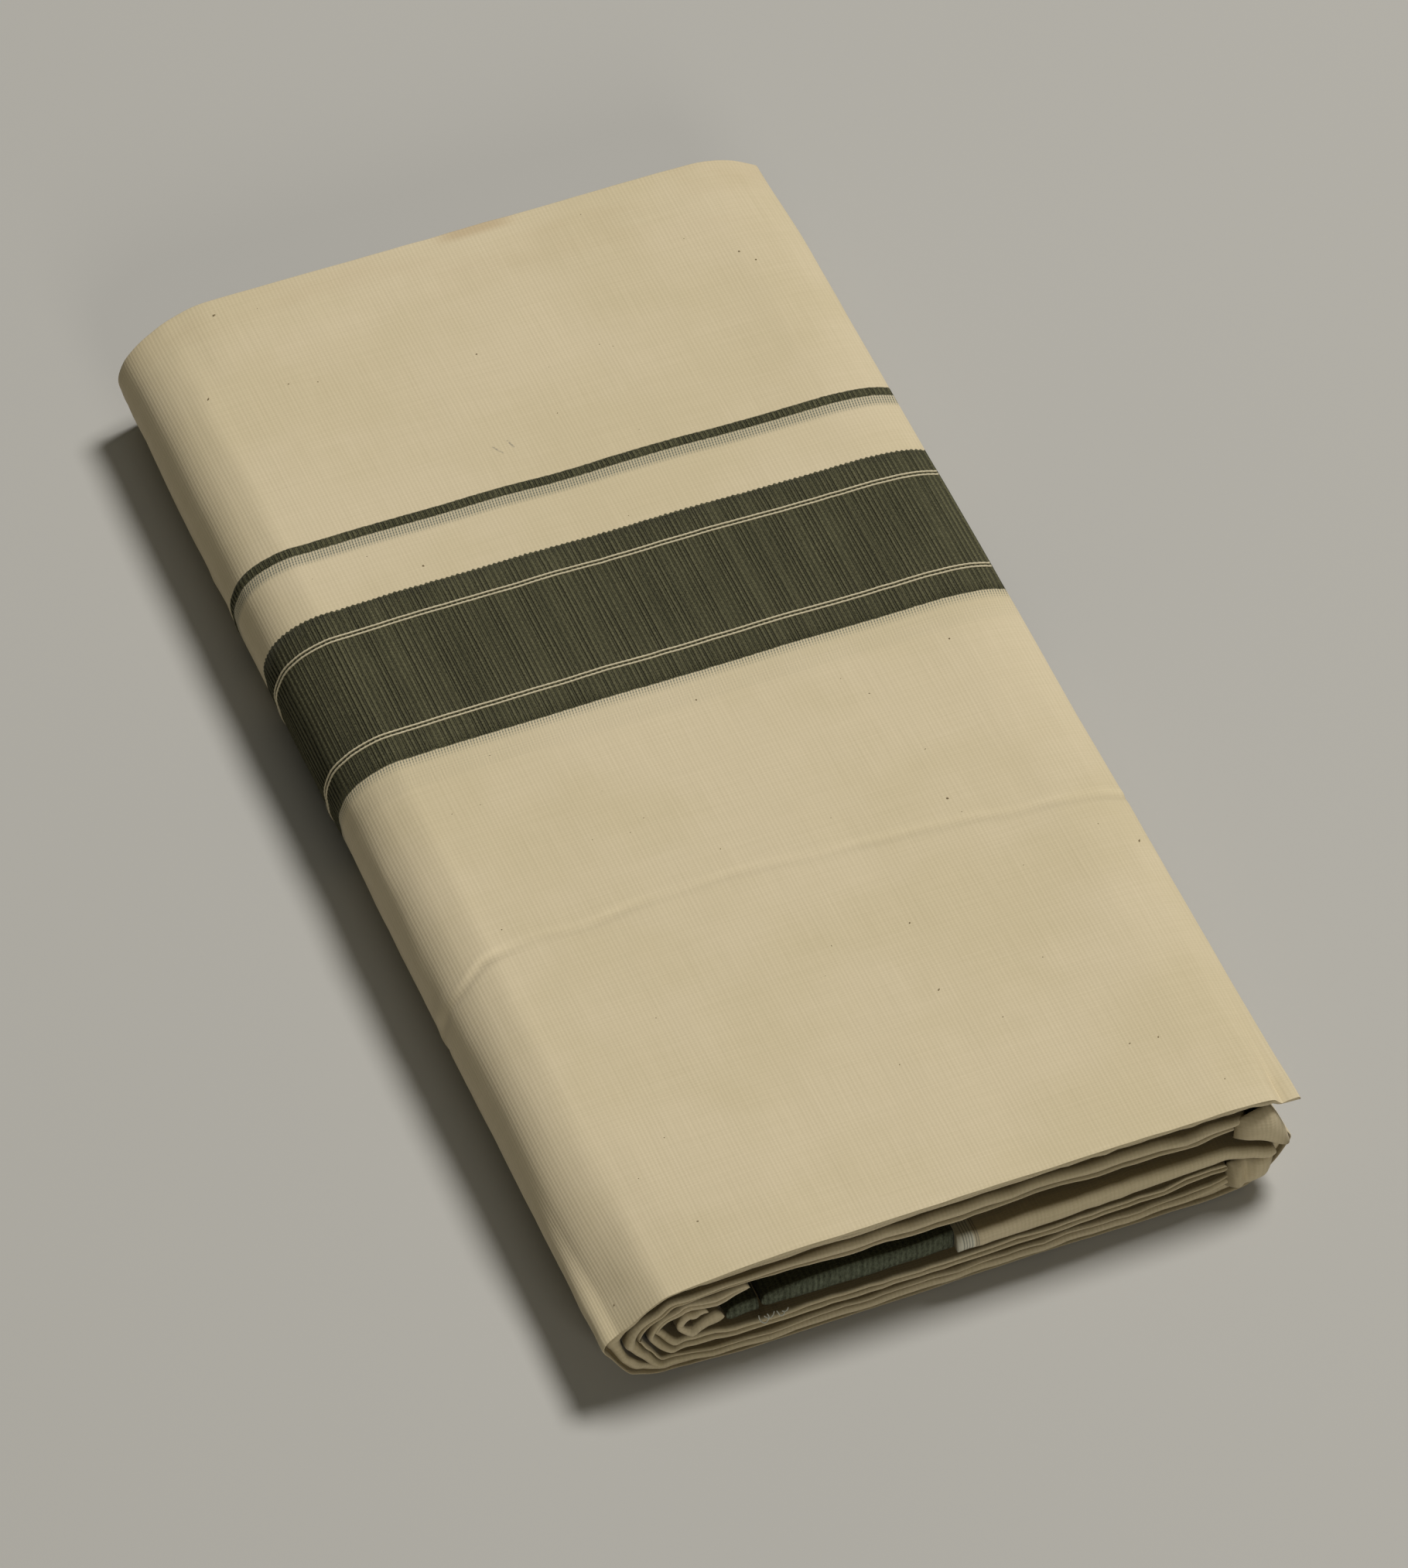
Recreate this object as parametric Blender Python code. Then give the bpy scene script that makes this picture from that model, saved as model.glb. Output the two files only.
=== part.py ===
"""A folded dhoti: one long cotton cloth with woven border bands, folded into a flat packet.

The loom-width cloth is folded in four along its length, doubled end to end, and the strip is then
turned flat about itself. Each turn is a bundle of many plies. Here every bundle that shows at the ends
of the packet is one solid: flat sections, half round at their two fold edges, carried along the path
that the bundle follows when the packet is seen from its near end. Lengths in the tables are
millimetres, and the model is in metres.
"""

import math

import bmesh
import bpy
from mathutils import Vector

MM = 0.001

# Driving sizes of the packet. The loom width of the cloth is four times the length of the packet.
LENGTH = 320.0
WIDTH = 167.0
HEIGHT = 31.3

# Distances from each end of the packet at which the sections have points, the same in every bundle.
STATIONS_FROM_END = (8.0, 20.0, 38.0, 64.0, 108.0)
LEAST_STATION_GAP = 1.0

# A fold edge is a half round of this many steps, and a bundle's end has sections at these angles of one.
FOLD_EDGE_STEPS = 4
PATH_END_TURNS = (40.0, 72.0)

# Sections along a path are at most this far apart, and turn at most this many degrees.
MOST_STEP = 16.0
MOST_BEND = 26.0
SHARP_ANGLE = 50.0

# The paths run from the right, over the top to the left fold, and back along the bottom, with one row
# for each place where a bundle bends or changes: x to the right, z up, and its thickness there.
PATHS = {
    "outer_turn": (
        # x, z, thick
        (81.9, 27.2, 2.2),
        (76.5, 29.0, 2.6),
        (71.5, 29.6, 2.7),
        (66.0, 29.9, 2.8),
        (-58.0, 29.9, 2.8),
        (-67.7, 29.8, 2.8),
        (-74.7, 27.8, 3.2),
        (-79.6, 22.5, 4.2),
        (-81.1, 15.6, 4.6),
        (-79.6, 8.7, 4.2),
        (-74.7, 3.5, 3.2),
        (-67.7, 1.5, 2.8),
        (-58.0, 1.4, 2.8),
        (60.0, 1.4, 2.8),
        (69.5, 2.1, 2.8),
        (76.2, 6.8, 2.7),
        (79.9, 13.8, 2.6),
        (78.2, 19.4, 2.4),
        (75.8, 22.8, 2.2),
    ),
    "flap_lining": (
        (78.2, 25.2, 1.5),
        (72.0, 26.4, 1.8),
        (62.0, 27.0, 1.9),
        (-52.0, 27.1, 1.9),
        (-63.0, 26.4, 1.8),
    ),
    "second_turn": (
        (71.0, 23.2, 2.6),
        (60.0, 23.8, 3.0),
        (-52.0, 23.9, 3.0),
        (-64.0, 23.0, 3.6),
        (-72.0, 19.4, 4.4),
        (-75.3, 14.4, 4.3),
        (-72.8, 8.6, 3.8),
        (-66.0, 5.7, 3.1),
        (-54.0, 4.8, 3.0),
        (56.0, 4.7, 3.0),
        (66.5, 5.4, 2.8),
        (72.6, 7.6, 2.4),
    ),
    "third_turn": (
        (-51.6, 19.9, 2.2),
        (-60.0, 18.9, 2.8),
        (-67.8, 16.4, 3.5),
        (-69.3, 13.2, 3.5),
        (-67.4, 10.4, 3.0),
        (-62.0, 8.9, 2.4),
        (-50.0, 8.3, 2.3),
        (40.0, 8.3, 2.3),
        (66.0, 8.7, 2.0),
    ),
    "inner_roll": (
        (-56.6, 15.9, 2.0),
        (-61.4, 15.4, 2.4),
        (-63.3, 13.4, 2.2),
        (-61.2, 11.6, 1.9),
        (-56.0, 11.2, 1.8),
    ),
    "border_end_inner": (
        (-51.4, 13.7, 4.4),
        (-46.2, 13.8, 4.4),
    ),
    "border_end": (
        (-42.7, 14.4, 6.0),
        (-20.0, 14.5, 6.0),
        (0.2, 14.5, 6.0),
    ),
    "inner_turn": (
        (0.6, 14.5, 6.0),
        (36.0, 14.4, 5.8),
        (60.0, 13.6, 5.4),
        (75.2, 12.8, 4.8),
    ),
    "hidden_layers": (
        (-47.2, 20.2, 3.0),
        (-30.0, 20.2, 3.4),
        (40.0, 20.0, 3.6),
        (70.0, 18.4, 3.2),
    ),
}

# How far inside the near and the far end of the packet the fold edges of each bundle lie, which of its
# two path ends are blunt because the bundle goes on there, and its cloth.
BUNDLES = {
    # name: (near inset, far inset, blunt start, blunt end, cloth)
    "outer_turn": (0.0, 0.0, False, False, "ecru_cotton"),
    "flap_lining": (1.6, 2.2, False, False, "ecru_cotton"),
    "second_turn": (0.9, 1.4, False, False, "ecru_cotton"),
    "third_turn": (1.5, 0.8, False, False, "ecru_cotton"),
    "inner_roll": (2.4, 2.6, False, False, "ecru_cotton"),
    "border_end_inner": (1.8, 2.0, False, True, "border_cotton"),
    "border_end": (0.7, 1.2, False, True, "border_cotton"),
    "inner_turn": (0.7, 1.2, True, False, "ecru_cotton"),
    "hidden_layers": (8.0, 7.0, False, False, "ecru_cotton"),
}

# How the packet gives at its corners: how far in from its ends and between which x the corners reach,
# the share of its height that each left corner loses, how far the far left corner is pulled in from the
# far end, and how far down, in from the right and in from the far end the far right corner is. The top
# rises over the packet's middle.
NEAR_REACH = 62.0
FAR_REACH = 34.0
LEFT_CORNERS = (-58.0, -74.0)
LEFT_TIP = (-62.0, -84.0)
RIGHT_CORNERS = (64.0, 86.0)
NEAR_LEFT_PINCH = 0.19
FAR_LEFT_PINCH = 0.13
FAR_LEFT_IN = 3.4
FAR_RIGHT_DROP = 0.9
FAR_RIGHT_IN = (0.6, 3.0)
CROWN_RISE = 0.5
CROWN_SPAN = WIDTH + 30.0

CLOTHS = {
    # name: (linear colour, roughness)
    "ecru_cotton": ((0.56, 0.49, 0.32, 1.0), 0.92),
    "border_cotton": ((0.075, 0.075, 0.052, 1.0), 0.9),
}


def smoothstep(low, high, value):
    """0 at low, 1 at high, with a soft run between them, also where low is above high."""
    t = max(0.0, min(1.0, (value - low) / (high - low)))
    return t * t * (3.0 - 2.0 * t)


def row_slopes(values, lengths):
    """Slopes at the rows that keep a smooth curve between the values of its rows."""
    steps = [(b - a) / h for a, b, h in zip(values, values[1:], lengths)]
    slopes = [steps[0]]
    for before, after, h0, h1 in zip(steps, steps[1:], lengths, lengths[1:]):
        if before * after <= 0.0:
            slopes.append(0.0)
        else:
            w0, w1 = 2.0 * h1 + h0, h1 + 2.0 * h0
            slopes.append((w0 + w1) / (w0 / before + w1 / after))
    return slopes + [steps[-1]]


def between(v0, v1, m0, m1, h, t):
    """A cubic from v0 to v1 over a length h, with slopes m0 and m1, at t of the way."""
    rest = 1.0 - t
    values = v0 * rest * rest * (1.0 + 2.0 * t) + v1 * t * t * (3.0 - 2.0 * t)
    return values + h * t * rest * (m0 * rest - m1 * t)


def bend_of_span(start, end, slopes):
    """The angle in degrees between the path's directions at the two ends of a span."""
    first, second = (Vector((slopes[0][k], slopes[1][k])) for k in (start, end))
    if first.length < 1e-6 or second.length < 1e-6:
        return 0.0
    return math.degrees(first.angle(second))


def path_samples(rows):
    """Points along the path as x, z and thickness, closer together where it bends."""
    lengths = [math.hypot(b[0] - a[0], b[1] - a[1]) for a, b in zip(rows, rows[1:])]
    columns = list(zip(*rows))
    slopes = [row_slopes(column, lengths) for column in columns]
    samples = []
    for k, length in enumerate(lengths):
        bend = bend_of_span(k, k + 1, slopes)
        count = max(math.ceil(bend / MOST_BEND), math.ceil(length / MOST_STEP))
        for step in range(count):
            t = step / count
            samples.append(
                [between(c[k], c[k + 1], m[k], m[k + 1], length, t) for c, m in zip(columns, slopes)]
            )
    samples.append(list(rows[-1]))
    return samples


def path_frames(rows, blunt_start, blunt_end):
    """For each section its x and z, the path's direction, and its own and the bundle's thickness there."""
    samples = path_samples(rows)
    frames = []
    for k, sample in enumerate(samples):
        ahead = samples[min(k + 1, len(samples) - 1)]
        behind = samples[max(k - 1, 0)]
        along = Vector((ahead[0] - behind[0], ahead[1] - behind[1])).normalized()
        frames.append((sample[0], sample[1], along, sample[2], sample[2]))
    if not blunt_start:
        frames = rounded_end(frames[0], -1.0)[::-1] + frames
    if not blunt_end:
        frames = frames + rounded_end(frames[-1], 1.0)
    return frames


def rounded_end(frame, direction):
    """Sections that close a bundle with the half round of a fold, past the last section of its path."""
    x, z, along, thick, _ = frame
    ends = []
    for turn in PATH_END_TURNS:
        reach = direction * 0.5 * thick * math.sin(math.radians(turn))
        narrowed = thick * math.cos(math.radians(turn))
        ends.append((x + along[0] * reach, z + along[1] * reach, along, narrowed, thick))
    return ends


def section(frame, near, far):
    """One section: outer side from near to far, far fold edge, inner side back, near fold edge."""
    x, z, along, thick, full = frame
    outward = Vector((along[1], -along[0]))
    half = 0.5 * thick
    first, last = near + 0.5 * full, far - 0.5 * full
    inside = [sign * (0.5 * LENGTH - d) for sign in (-1, 1) for d in STATIONS_FROM_END] + [0.0]
    low, high = first + LEAST_STATION_GAP, last - LEAST_STATION_GAP
    ys = [first] + sorted(y for y in inside if low < y < high) + [last]
    turns = [math.pi * k / FOLD_EDGE_STEPS for k in range(1, FOLD_EDGE_STEPS)]
    ring = [(half, y) for y in ys]
    ring += [(half * math.cos(a), last + half * math.sin(a)) for a in turns]
    ring += [(-half, y) for y in reversed(ys)]
    ring += [(-half * math.cos(a), first - half * math.sin(a)) for a in turns]
    return [Vector((x + outward[0] * h, y, z + outward[1] * h)) for h, y in ring], len(ys)


def settle(point):
    """Where the packed cloth has given way: corners pressed or rounded, and the middle risen a little."""
    x, y, z = point
    near = smoothstep(-0.5 * LENGTH + NEAR_REACH, -0.5 * LENGTH, y)
    far = smoothstep(0.5 * LENGTH - FAR_REACH, 0.5 * LENGTH, y)
    left = smoothstep(*LEFT_CORNERS, x)
    right = smoothstep(*RIGHT_CORNERS, x)
    high = smoothstep(0.0, HEIGHT, z)
    middle = 0.5 * HEIGHT
    z = middle + (z - middle) * (1.0 - NEAR_LEFT_PINCH * near * left - FAR_LEFT_PINCH * far * left)
    z -= FAR_RIGHT_DROP * far * right * high
    y -= FAR_LEFT_IN * far * smoothstep(*LEFT_TIP, x)
    y -= FAR_RIGHT_IN[1] * far * right * right
    x -= FAR_RIGHT_IN[0] * far * right
    crown = math.cos(math.pi * y / LENGTH) * math.cos(math.pi * x / CROWN_SPAN)
    z += CROWN_RISE * high * (crown - 0.5)
    return Vector((x, y, max(z, 0.0)))


def add_faces(bm, rings, flat_count):
    """Sides between neighbouring sections, and a cap over the first and the last."""
    rows = [[bm.verts.new(p) for p in ring] for ring in rings]
    size = len(rows[0])
    for a, b in zip(rows, rows[1:]):
        for k in range(size):
            n = (k + 1) % size
            bm.faces.new((a[k], a[n], b[n], b[k]))
    for row in (rows[0], rows[-1]):
        outer = row[:flat_count]
        far_edge = row[flat_count : flat_count + FOLD_EDGE_STEPS - 1]
        inner = row[flat_count + FOLD_EDGE_STEPS - 1 : 2 * flat_count + FOLD_EDGE_STEPS - 1][::-1]
        near_edge = row[2 * flat_count + FOLD_EDGE_STEPS - 1 :]
        for k in range(flat_count - 1):
            bm.faces.new((outer[k], outer[k + 1], inner[k + 1], inner[k]))
        bm.faces.new([outer[-1]] + far_edge + [inner[-1]])
        bm.faces.new([inner[0]] + near_edge + [outer[0]])


def bundle(name, collection):
    """One bundle of plies as a closed solid."""
    near_inset, far_inset, blunt_start, blunt_end, cloth = BUNDLES[name]
    near, far = -0.5 * LENGTH + near_inset, 0.5 * LENGTH - far_inset
    rings, flat_count = [], 0
    for frame in path_frames(PATHS[name], blunt_start, blunt_end):
        ring, flat_count = section(frame, near, far)
        rings.append([settle(p) for p in ring])
    bm = bmesh.new()
    add_faces(bm, rings, flat_count)
    bmesh.ops.recalc_face_normals(bm, faces=bm.faces)
    mesh = bpy.data.meshes.new(name)
    bm.to_mesh(mesh)
    bm.free()
    mesh.materials.append(cloth_material(name, cloth))
    obj = bpy.data.objects.new(name, mesh)
    collection.objects.link(obj)
    return obj


def cloth_material(name, cloth):
    """Plain cotton of one colour, for one bundle."""
    colour, roughness = CLOTHS[cloth]
    material = bpy.data.materials.new(f"{name}_{cloth}")
    material.use_nodes = True
    shader = material.node_tree.nodes["Principled BSDF"]
    shader.inputs["Base Color"].default_value = colour
    shader.inputs["Roughness"].default_value = roughness
    shader.inputs["Metallic"].default_value = 0.0
    return material


def centre(objects):
    """Puts the middle of the packet's underside at the origin, and turns millimetres into metres."""
    points = [v.co for obj in objects for v in obj.data.vertices]
    low = [min(p[k] for p in points) for k in range(3)]
    high = [max(p[k] for p in points) for k in range(3)]
    foot = Vector((0.5 * (low[0] + high[0]), 0.5 * (low[1] + high[1]), low[2]))
    for obj in objects:
        for vertex in obj.data.vertices:
            vertex.co = (vertex.co - foot) * MM
        obj.data.shade_smooth()
        obj.data.set_sharp_from_angle(angle=math.radians(SHARP_ANGLE))


def clear_scene():
    for obj in list(bpy.data.objects):
        bpy.data.objects.remove(obj, do_unlink=True)


def main():
    clear_scene()
    collection = bpy.data.collections.new("folded_dhoti")
    bpy.context.scene.collection.children.link(collection)
    centre([bundle(name, collection) for name in BUNDLES])


main()
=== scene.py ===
"""A folded dhoti: the cloth of every turn, its woven borders, its loose threads and flecks, and the stage.

The script is laid out as an add-on and is run as a script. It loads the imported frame, and each operator
builds one piece, or one group of like pieces, round it. Lengths in the tables and in the shape functions are
millimetres, in the frame's own axes: X to the right, Y to the far end, Z up. Meshes are written in metres.
"""

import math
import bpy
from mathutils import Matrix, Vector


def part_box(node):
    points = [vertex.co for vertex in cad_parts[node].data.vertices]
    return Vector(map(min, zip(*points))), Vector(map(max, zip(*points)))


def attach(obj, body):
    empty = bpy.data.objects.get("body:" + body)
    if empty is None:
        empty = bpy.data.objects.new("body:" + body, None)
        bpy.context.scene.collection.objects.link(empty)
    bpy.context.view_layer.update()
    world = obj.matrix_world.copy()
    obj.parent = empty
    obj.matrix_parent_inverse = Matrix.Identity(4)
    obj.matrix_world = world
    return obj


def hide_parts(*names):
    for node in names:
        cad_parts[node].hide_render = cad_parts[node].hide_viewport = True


bl_info = {
    "name": "Folded dhoti cloth",
    "version": (1, 0, 0),
    "blender": (4, 5, 0),
    "location": "3D View > Sidebar > Dhoti",
    "description": "Builds the cloth, the woven borders and the stage of a folded dhoti",
    "category": "Add Mesh",
}

import bpy
import numpy as np
from mathutils import Vector

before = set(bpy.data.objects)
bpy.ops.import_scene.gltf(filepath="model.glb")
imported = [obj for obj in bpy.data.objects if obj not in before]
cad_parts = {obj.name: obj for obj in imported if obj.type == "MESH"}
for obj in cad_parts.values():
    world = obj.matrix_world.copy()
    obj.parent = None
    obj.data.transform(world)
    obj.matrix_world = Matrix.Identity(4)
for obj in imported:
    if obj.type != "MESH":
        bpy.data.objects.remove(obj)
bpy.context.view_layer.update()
FRAME_LOW, FRAME_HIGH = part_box("outer_turn")

MM = 0.001
PER_METRE = 1000.0
LENGTH = round((FRAME_HIGH.y - FRAME_LOW.y) / MM, 1)
HEIGHT = 31.3
WIDTH = 167.0
NEAR_Y, FAR_Y = -0.5 * LENGTH, 0.5 * LENGTH

# The paths of the bundles, from the right, over the top to the left fold, and back along the bottom.
# Each row is a place along the path: x, z and thickness in the middle of the packet, and at its near end.
PATHS = {
    "outer_turn": (
        # mid x, mid z, mid thick, near x, near z, near thick
        (81.9, 27.2, 2.2, 82.7, 27.7, 1.5),
        (79.3, 28.2, 2.4, 79.4, 27.8, 1.7),
        (76.5, 29.0, 2.6, 76.6, 29.4, 2.4),
        (71.5, 29.6, 2.7, 71.5, 29.8, 2.7),
        (66.0, 29.9, 2.8, 66.0, 30.0, 2.8),
        (-38.0, 29.9, 2.8, -38.0, 29.9, 2.7),
        (-58.0, 29.9, 2.8, -58.0, 29.1, 1.8),
        (-67.7, 29.8, 2.8, -66.6, 28.3, 1.2),
        (-74.7, 27.8, 3.2, -72.5, 25.1, 1.5),
        (-79.6, 22.5, 4.2, -78.0, 19.8, 2.1),
        (-81.1, 15.6, 4.6, -80.6, 16.4, 4.8),
        (-79.6, 8.7, 4.2, -78.2, 9.8, 3.0),
        (-74.7, 3.5, 3.2, -75.0, 5.8, 3.0),
        (-67.7, 1.5, 2.8, -69.4, 2.6, 1.9),
        (-58.0, 1.4, 2.8, -58.0, 1.0, 1.7),
        (-30.0, 1.4, 2.8, -30.0, 1.1, 2.0),
        (60.0, 1.4, 2.8, 60.0, 1.4, 2.4),
        (69.5, 2.1, 2.8, 70.5, 2.4, 2.4),
        (76.2, 6.8, 2.7, 76.4, 6.6, 2.5),
        (79.9, 13.8, 2.6, 80.1, 13.8, 3.0),
        (78.2, 19.4, 2.4, 78.2, 19.6, 3.2),
        (75.8, 22.8, 2.2, 76.2, 24.0, 2.6),
    ),
    "flap_lining": (
        (78.2, 25.2, 1.5, 77.4, 25.6, 1.4),
        (72.0, 26.4, 1.8, 71.5, 26.6, 1.7),
        (62.0, 27.0, 1.9, 62.0, 27.0, 1.9),
        (-52.0, 27.1, 1.9, -50.0, 26.3, 1.9),
        (-63.0, 26.4, 1.8, -60.2, 26.0, 1.6),
    ),
    "second_turn": (
        (71.0, 23.2, 2.6, 70.6, 23.0, 3.0),
        (60.0, 23.8, 3.0, 60.0, 22.9, 4.4),
        (-20.0, 23.9, 3.0, -20.0, 22.8, 4.4),
        (-40.0, 23.9, 3.0, -40.0, 23.8, 2.5),
        (-52.0, 23.9, 3.0, -53.0, 24.2, 1.9),
        (-64.0, 23.0, 3.6, -64.4, 22.9, 2.7),
        (-72.0, 19.4, 4.4, -70.9, 19.3, 3.2),
        (-75.3, 14.4, 4.3, -75.8, 15.4, 4.2),
        (-72.8, 8.6, 3.8, -72.9, 9.5, 3.6),
        (-66.0, 5.7, 3.1, -69.2, 5.2, 2.8),
        (-54.0, 4.8, 3.0, -55.0, 3.2, 2.8),
        (-30.0, 4.8, 3.0, -30.0, 3.6, 3.2),
        (56.0, 4.7, 3.0, 56.0, 4.6, 3.3),
        (66.5, 5.4, 2.8, 66.5, 5.6, 2.5),
        (72.6, 7.6, 2.4, 72.8, 7.5, 2.1),
    ),
    "third_turn": (
        (-51.6, 19.9, 2.2, -49.4, 21.1, 2.6),
        (-60.0, 18.9, 2.8, -57.6, 19.9, 3.4),
        (-67.8, 16.4, 3.5, -67.0, 17.2, 2.8),
        (-69.3, 13.2, 3.5, -70.3, 13.8, 3.4),
        (-67.4, 10.4, 3.0, -68.0, 10.1, 3.9),
        (-62.0, 8.9, 2.4, -62.0, 7.4, 3.2),
        (-50.0, 8.3, 2.3, -50.0, 6.8, 2.8),
        (40.0, 8.3, 2.3, 40.0, 8.2, 2.2),
        (66.0, 8.7, 2.0, 66.2, 9.2, 1.9),
    ),
    "inner_roll": (
        (-56.6, 15.9, 2.0, -58.6, 16.6, 1.7),
        (-61.4, 15.4, 2.4, -61.9, 16.0, 2.6),
        (-63.3, 13.4, 2.2, -64.2, 13.9, 1.7),
        (-61.2, 11.6, 1.9, -61.4, 11.4, 2.9),
        (-56.0, 11.2, 1.8, -55.6, 12.0, 4.0),
    ),
    "border_end_inner": (
        (-51.4, 13.7, 4.4, -51.6, 13.9, 4.4),
        (-46.2, 13.8, 4.4, -46.1, 14.3, 4.3),
    ),
    "border_end": (
        (-42.7, 14.4, 6.0, -43.2, 15.4, 4.7),
        (-34.0, 14.4, 6.0, -34.0, 15.6, 5.8),
        (-20.0, 14.5, 6.0, -20.0, 15.5, 6.0),
        (0.4, 14.5, 6.0, 0.5, 15.3, 5.7),
    ),
    "inner_turn": (
        (0.42, 14.5, 6.0, 0.52, 15.7, 5.6),
        (12.0, 14.5, 5.9, 12.0, 16.2, 5.6),
        (36.0, 14.4, 5.8, 36.0, 16.5, 5.4),
        (60.0, 13.6, 5.4, 61.0, 16.5, 4.4),
        (75.2, 12.8, 4.8, 76.2, 13.3, 3.1),
    ),
    "hidden_layers": (
        (-47.2, 20.2, 3.0, -47.2, 20.0, 2.6),
        (-30.0, 20.2, 3.4, -30.0, 19.9, 2.6),
        (40.0, 20.0, 3.6, 40.0, 20.1, 2.8),
        (70.0, 18.4, 3.2, 70.0, 19.2, 2.6),
    ),
}

# The pieces made from the paths. The insets are how far inside the packet's ends its fold edges lie: at the
# near end where the path starts and where it ends, and at the far end. The longest fold is how far a fold
# edge may reach past the flat of the cloth. Ragged is how far that edge wanders.
BUNDLES = (
    # piece, node, near inset at the start, at the end, far inset, longest fold, ragged, plies that show
    ("outer_cloth", "outer_turn", 0.0, 0.9, 0.0, 1.9, 0.06, "thin over thick"),
    ("flap_lining_cloth", "flap_lining", 2.6, 2.2, 2.2, 1.4, 0.2, "one"),
    ("second_turn_cloth", "second_turn", 1.0, -0.5, 1.4, 2.0, 0.22, "thick over thin"),
    ("third_turn_cloth", "third_turn", 1.0, 0.4, 0.8, 1.6, 0.25, "two alike"),
    ("inner_roll_cloth", "inner_roll", 1.1, 1.1, 2.6, 1.4, 0.3, "one"),
    ("border_end_inner_cloth", "border_end_inner", 0.9, 0.9, 2.0, 0.8, 0.15, "one"),
    ("border_end_cloth", "border_end", 0.5, 0.5, 1.2, 0.7, 0.12, "one"),
    ("inner_turn_cloth", "inner_turn", -2.4, -1.6, 1.2, 1.9, 0.15, "one"),
    ("hidden_plies", "hidden_layers", 4.5, 4.5, 4.0, 1.6, 0.5, "two alike"),
)
BLUNT_START = {"inner_turn_cloth"}
BLUNT_END = {"border_end_cloth", "border_end_inner_cloth"}
BORDER_PIECES = {"border_end_cloth", "border_end_inner_cloth"}

# Sections along a path: their distance on a straight stretch, and the turn between two on a bend.
STRAIGHT_STEP = 3.0
BEND_STEP = math.radians(5.0)
PATH_END_TURNS = (16.0, 34.0, 52.0, 68.0, 82.0)
PATH_READING_STEP = 0.1
FEWEST_SECTIONS = 4

# Points round a section: the steps round a fold edge's first ply and round its next, and the rows across the
# flat, which grow from the fold edges to the middle and keep this far apart.
FOLD_STEPS = (10, 8)
FIRST_ROW_STEP = 0.6
ROW_GROWTH = 1.22
MOST_ROW_STEP = 4.0
LEAST_ROW_GAP = 0.35
FLAT_MARGIN = 0.3

# How the packet gives at its corners, as in its solids.
NEAR_REACH = 62.0
FAR_REACH = 34.0
LEFT_CORNERS = (-58.0, -74.0)
LEFT_TIP = (-62.0, -84.0)
RIGHT_CORNERS = (64.0, 86.0)
NEAR_LEFT_PINCH = 0.19
FAR_LEFT_PINCH = 0.13
FAR_LEFT_IN = 3.4
FAR_RIGHT_DROP = 0.9
FAR_RIGHT_IN = (0.6, 3.0)
CROWN_RISE = 0.5
CROWN_SPAN = WIDTH + 30.0

# The near end's own form takes over from the middle's between these distances from the near end.
NEAR_FORM = (56.0, 1.0)

# How full a fold edge is, where 1 is round and less is blunter, and the length of its arc against its reach.
FOLD_FULLNESS = 0.95
FOLD_ARC = 1.6

# Waves of the uneven edges and thicknesses, as their longest and shortest length.
NEAR_EDGE_WAVES = (40.0, 5.0)
FAR_EDGE_WAVES = (60.0, 7.0)
THICKNESS_WAVES = (45.0, 8.0)
MIDDLE_THICKNESS_CHANGE = 0.03
NEAR_THICKNESS_CHANGE = 0.07

# An inner turn's near edge is more uneven where it bends: near its ends, and left of these places along X.
BEND_UNEVEN = 2.0
END_BENDS = 9.0
LEFT_BENDS = (-56.0, -66.0)
INSET_RUN = (0.3, 0.7)

# A ply that is set back lies unevenly, and keeps at least this share of its reach.
SETBACK_UNEVEN = 0.8
LEAST_REACH = 0.3

# Painted shade between two plies of a fold edge: how soon the colour darkens towards the gap, the tone of
# that painted shade, and the name under which each point keeps its depth.
PLY_SHADE_FALL = 1.1
PAINTED_PLY_SHADE = (0.30, 0.27, 0.20)
SHADE_DEPTH_NAME = "Painted shade between plies"

# Painted shade and highlight along the old fold line: how much darker its colour is for each millimetre of
# its trough, lighter on its raised lip, and the name of that value.
OLD_FOLD_PAINTED_SHADE = 0.4
OLD_FOLD_NAME = "Old fold line"

# The plies that show in a fold edge: each one's outer and inner face, from 1 at the bundle's outer side to -1
# at its inner side, and how far it lies back. Between two is a trench.
FOLD_PLIES = {
    "one": ((1.0, -1.0, 0.0),),
    "thin over thick": ((1.0, 0.8, 0.0), (0.48, -1.0, 0.8)),
    "thick over thin": ((1.0, -0.3, 0.0), (-0.5, -1.0, 0.35)),
    "two alike": ((1.0, 0.05, 0.0), (-0.05, -1.0, 0.3)),
}

# Closer rows across the outer cloth, where its old fold line crosses it.
CREASE_ROWS = (-70.0, -49.0, 0.7)
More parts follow.
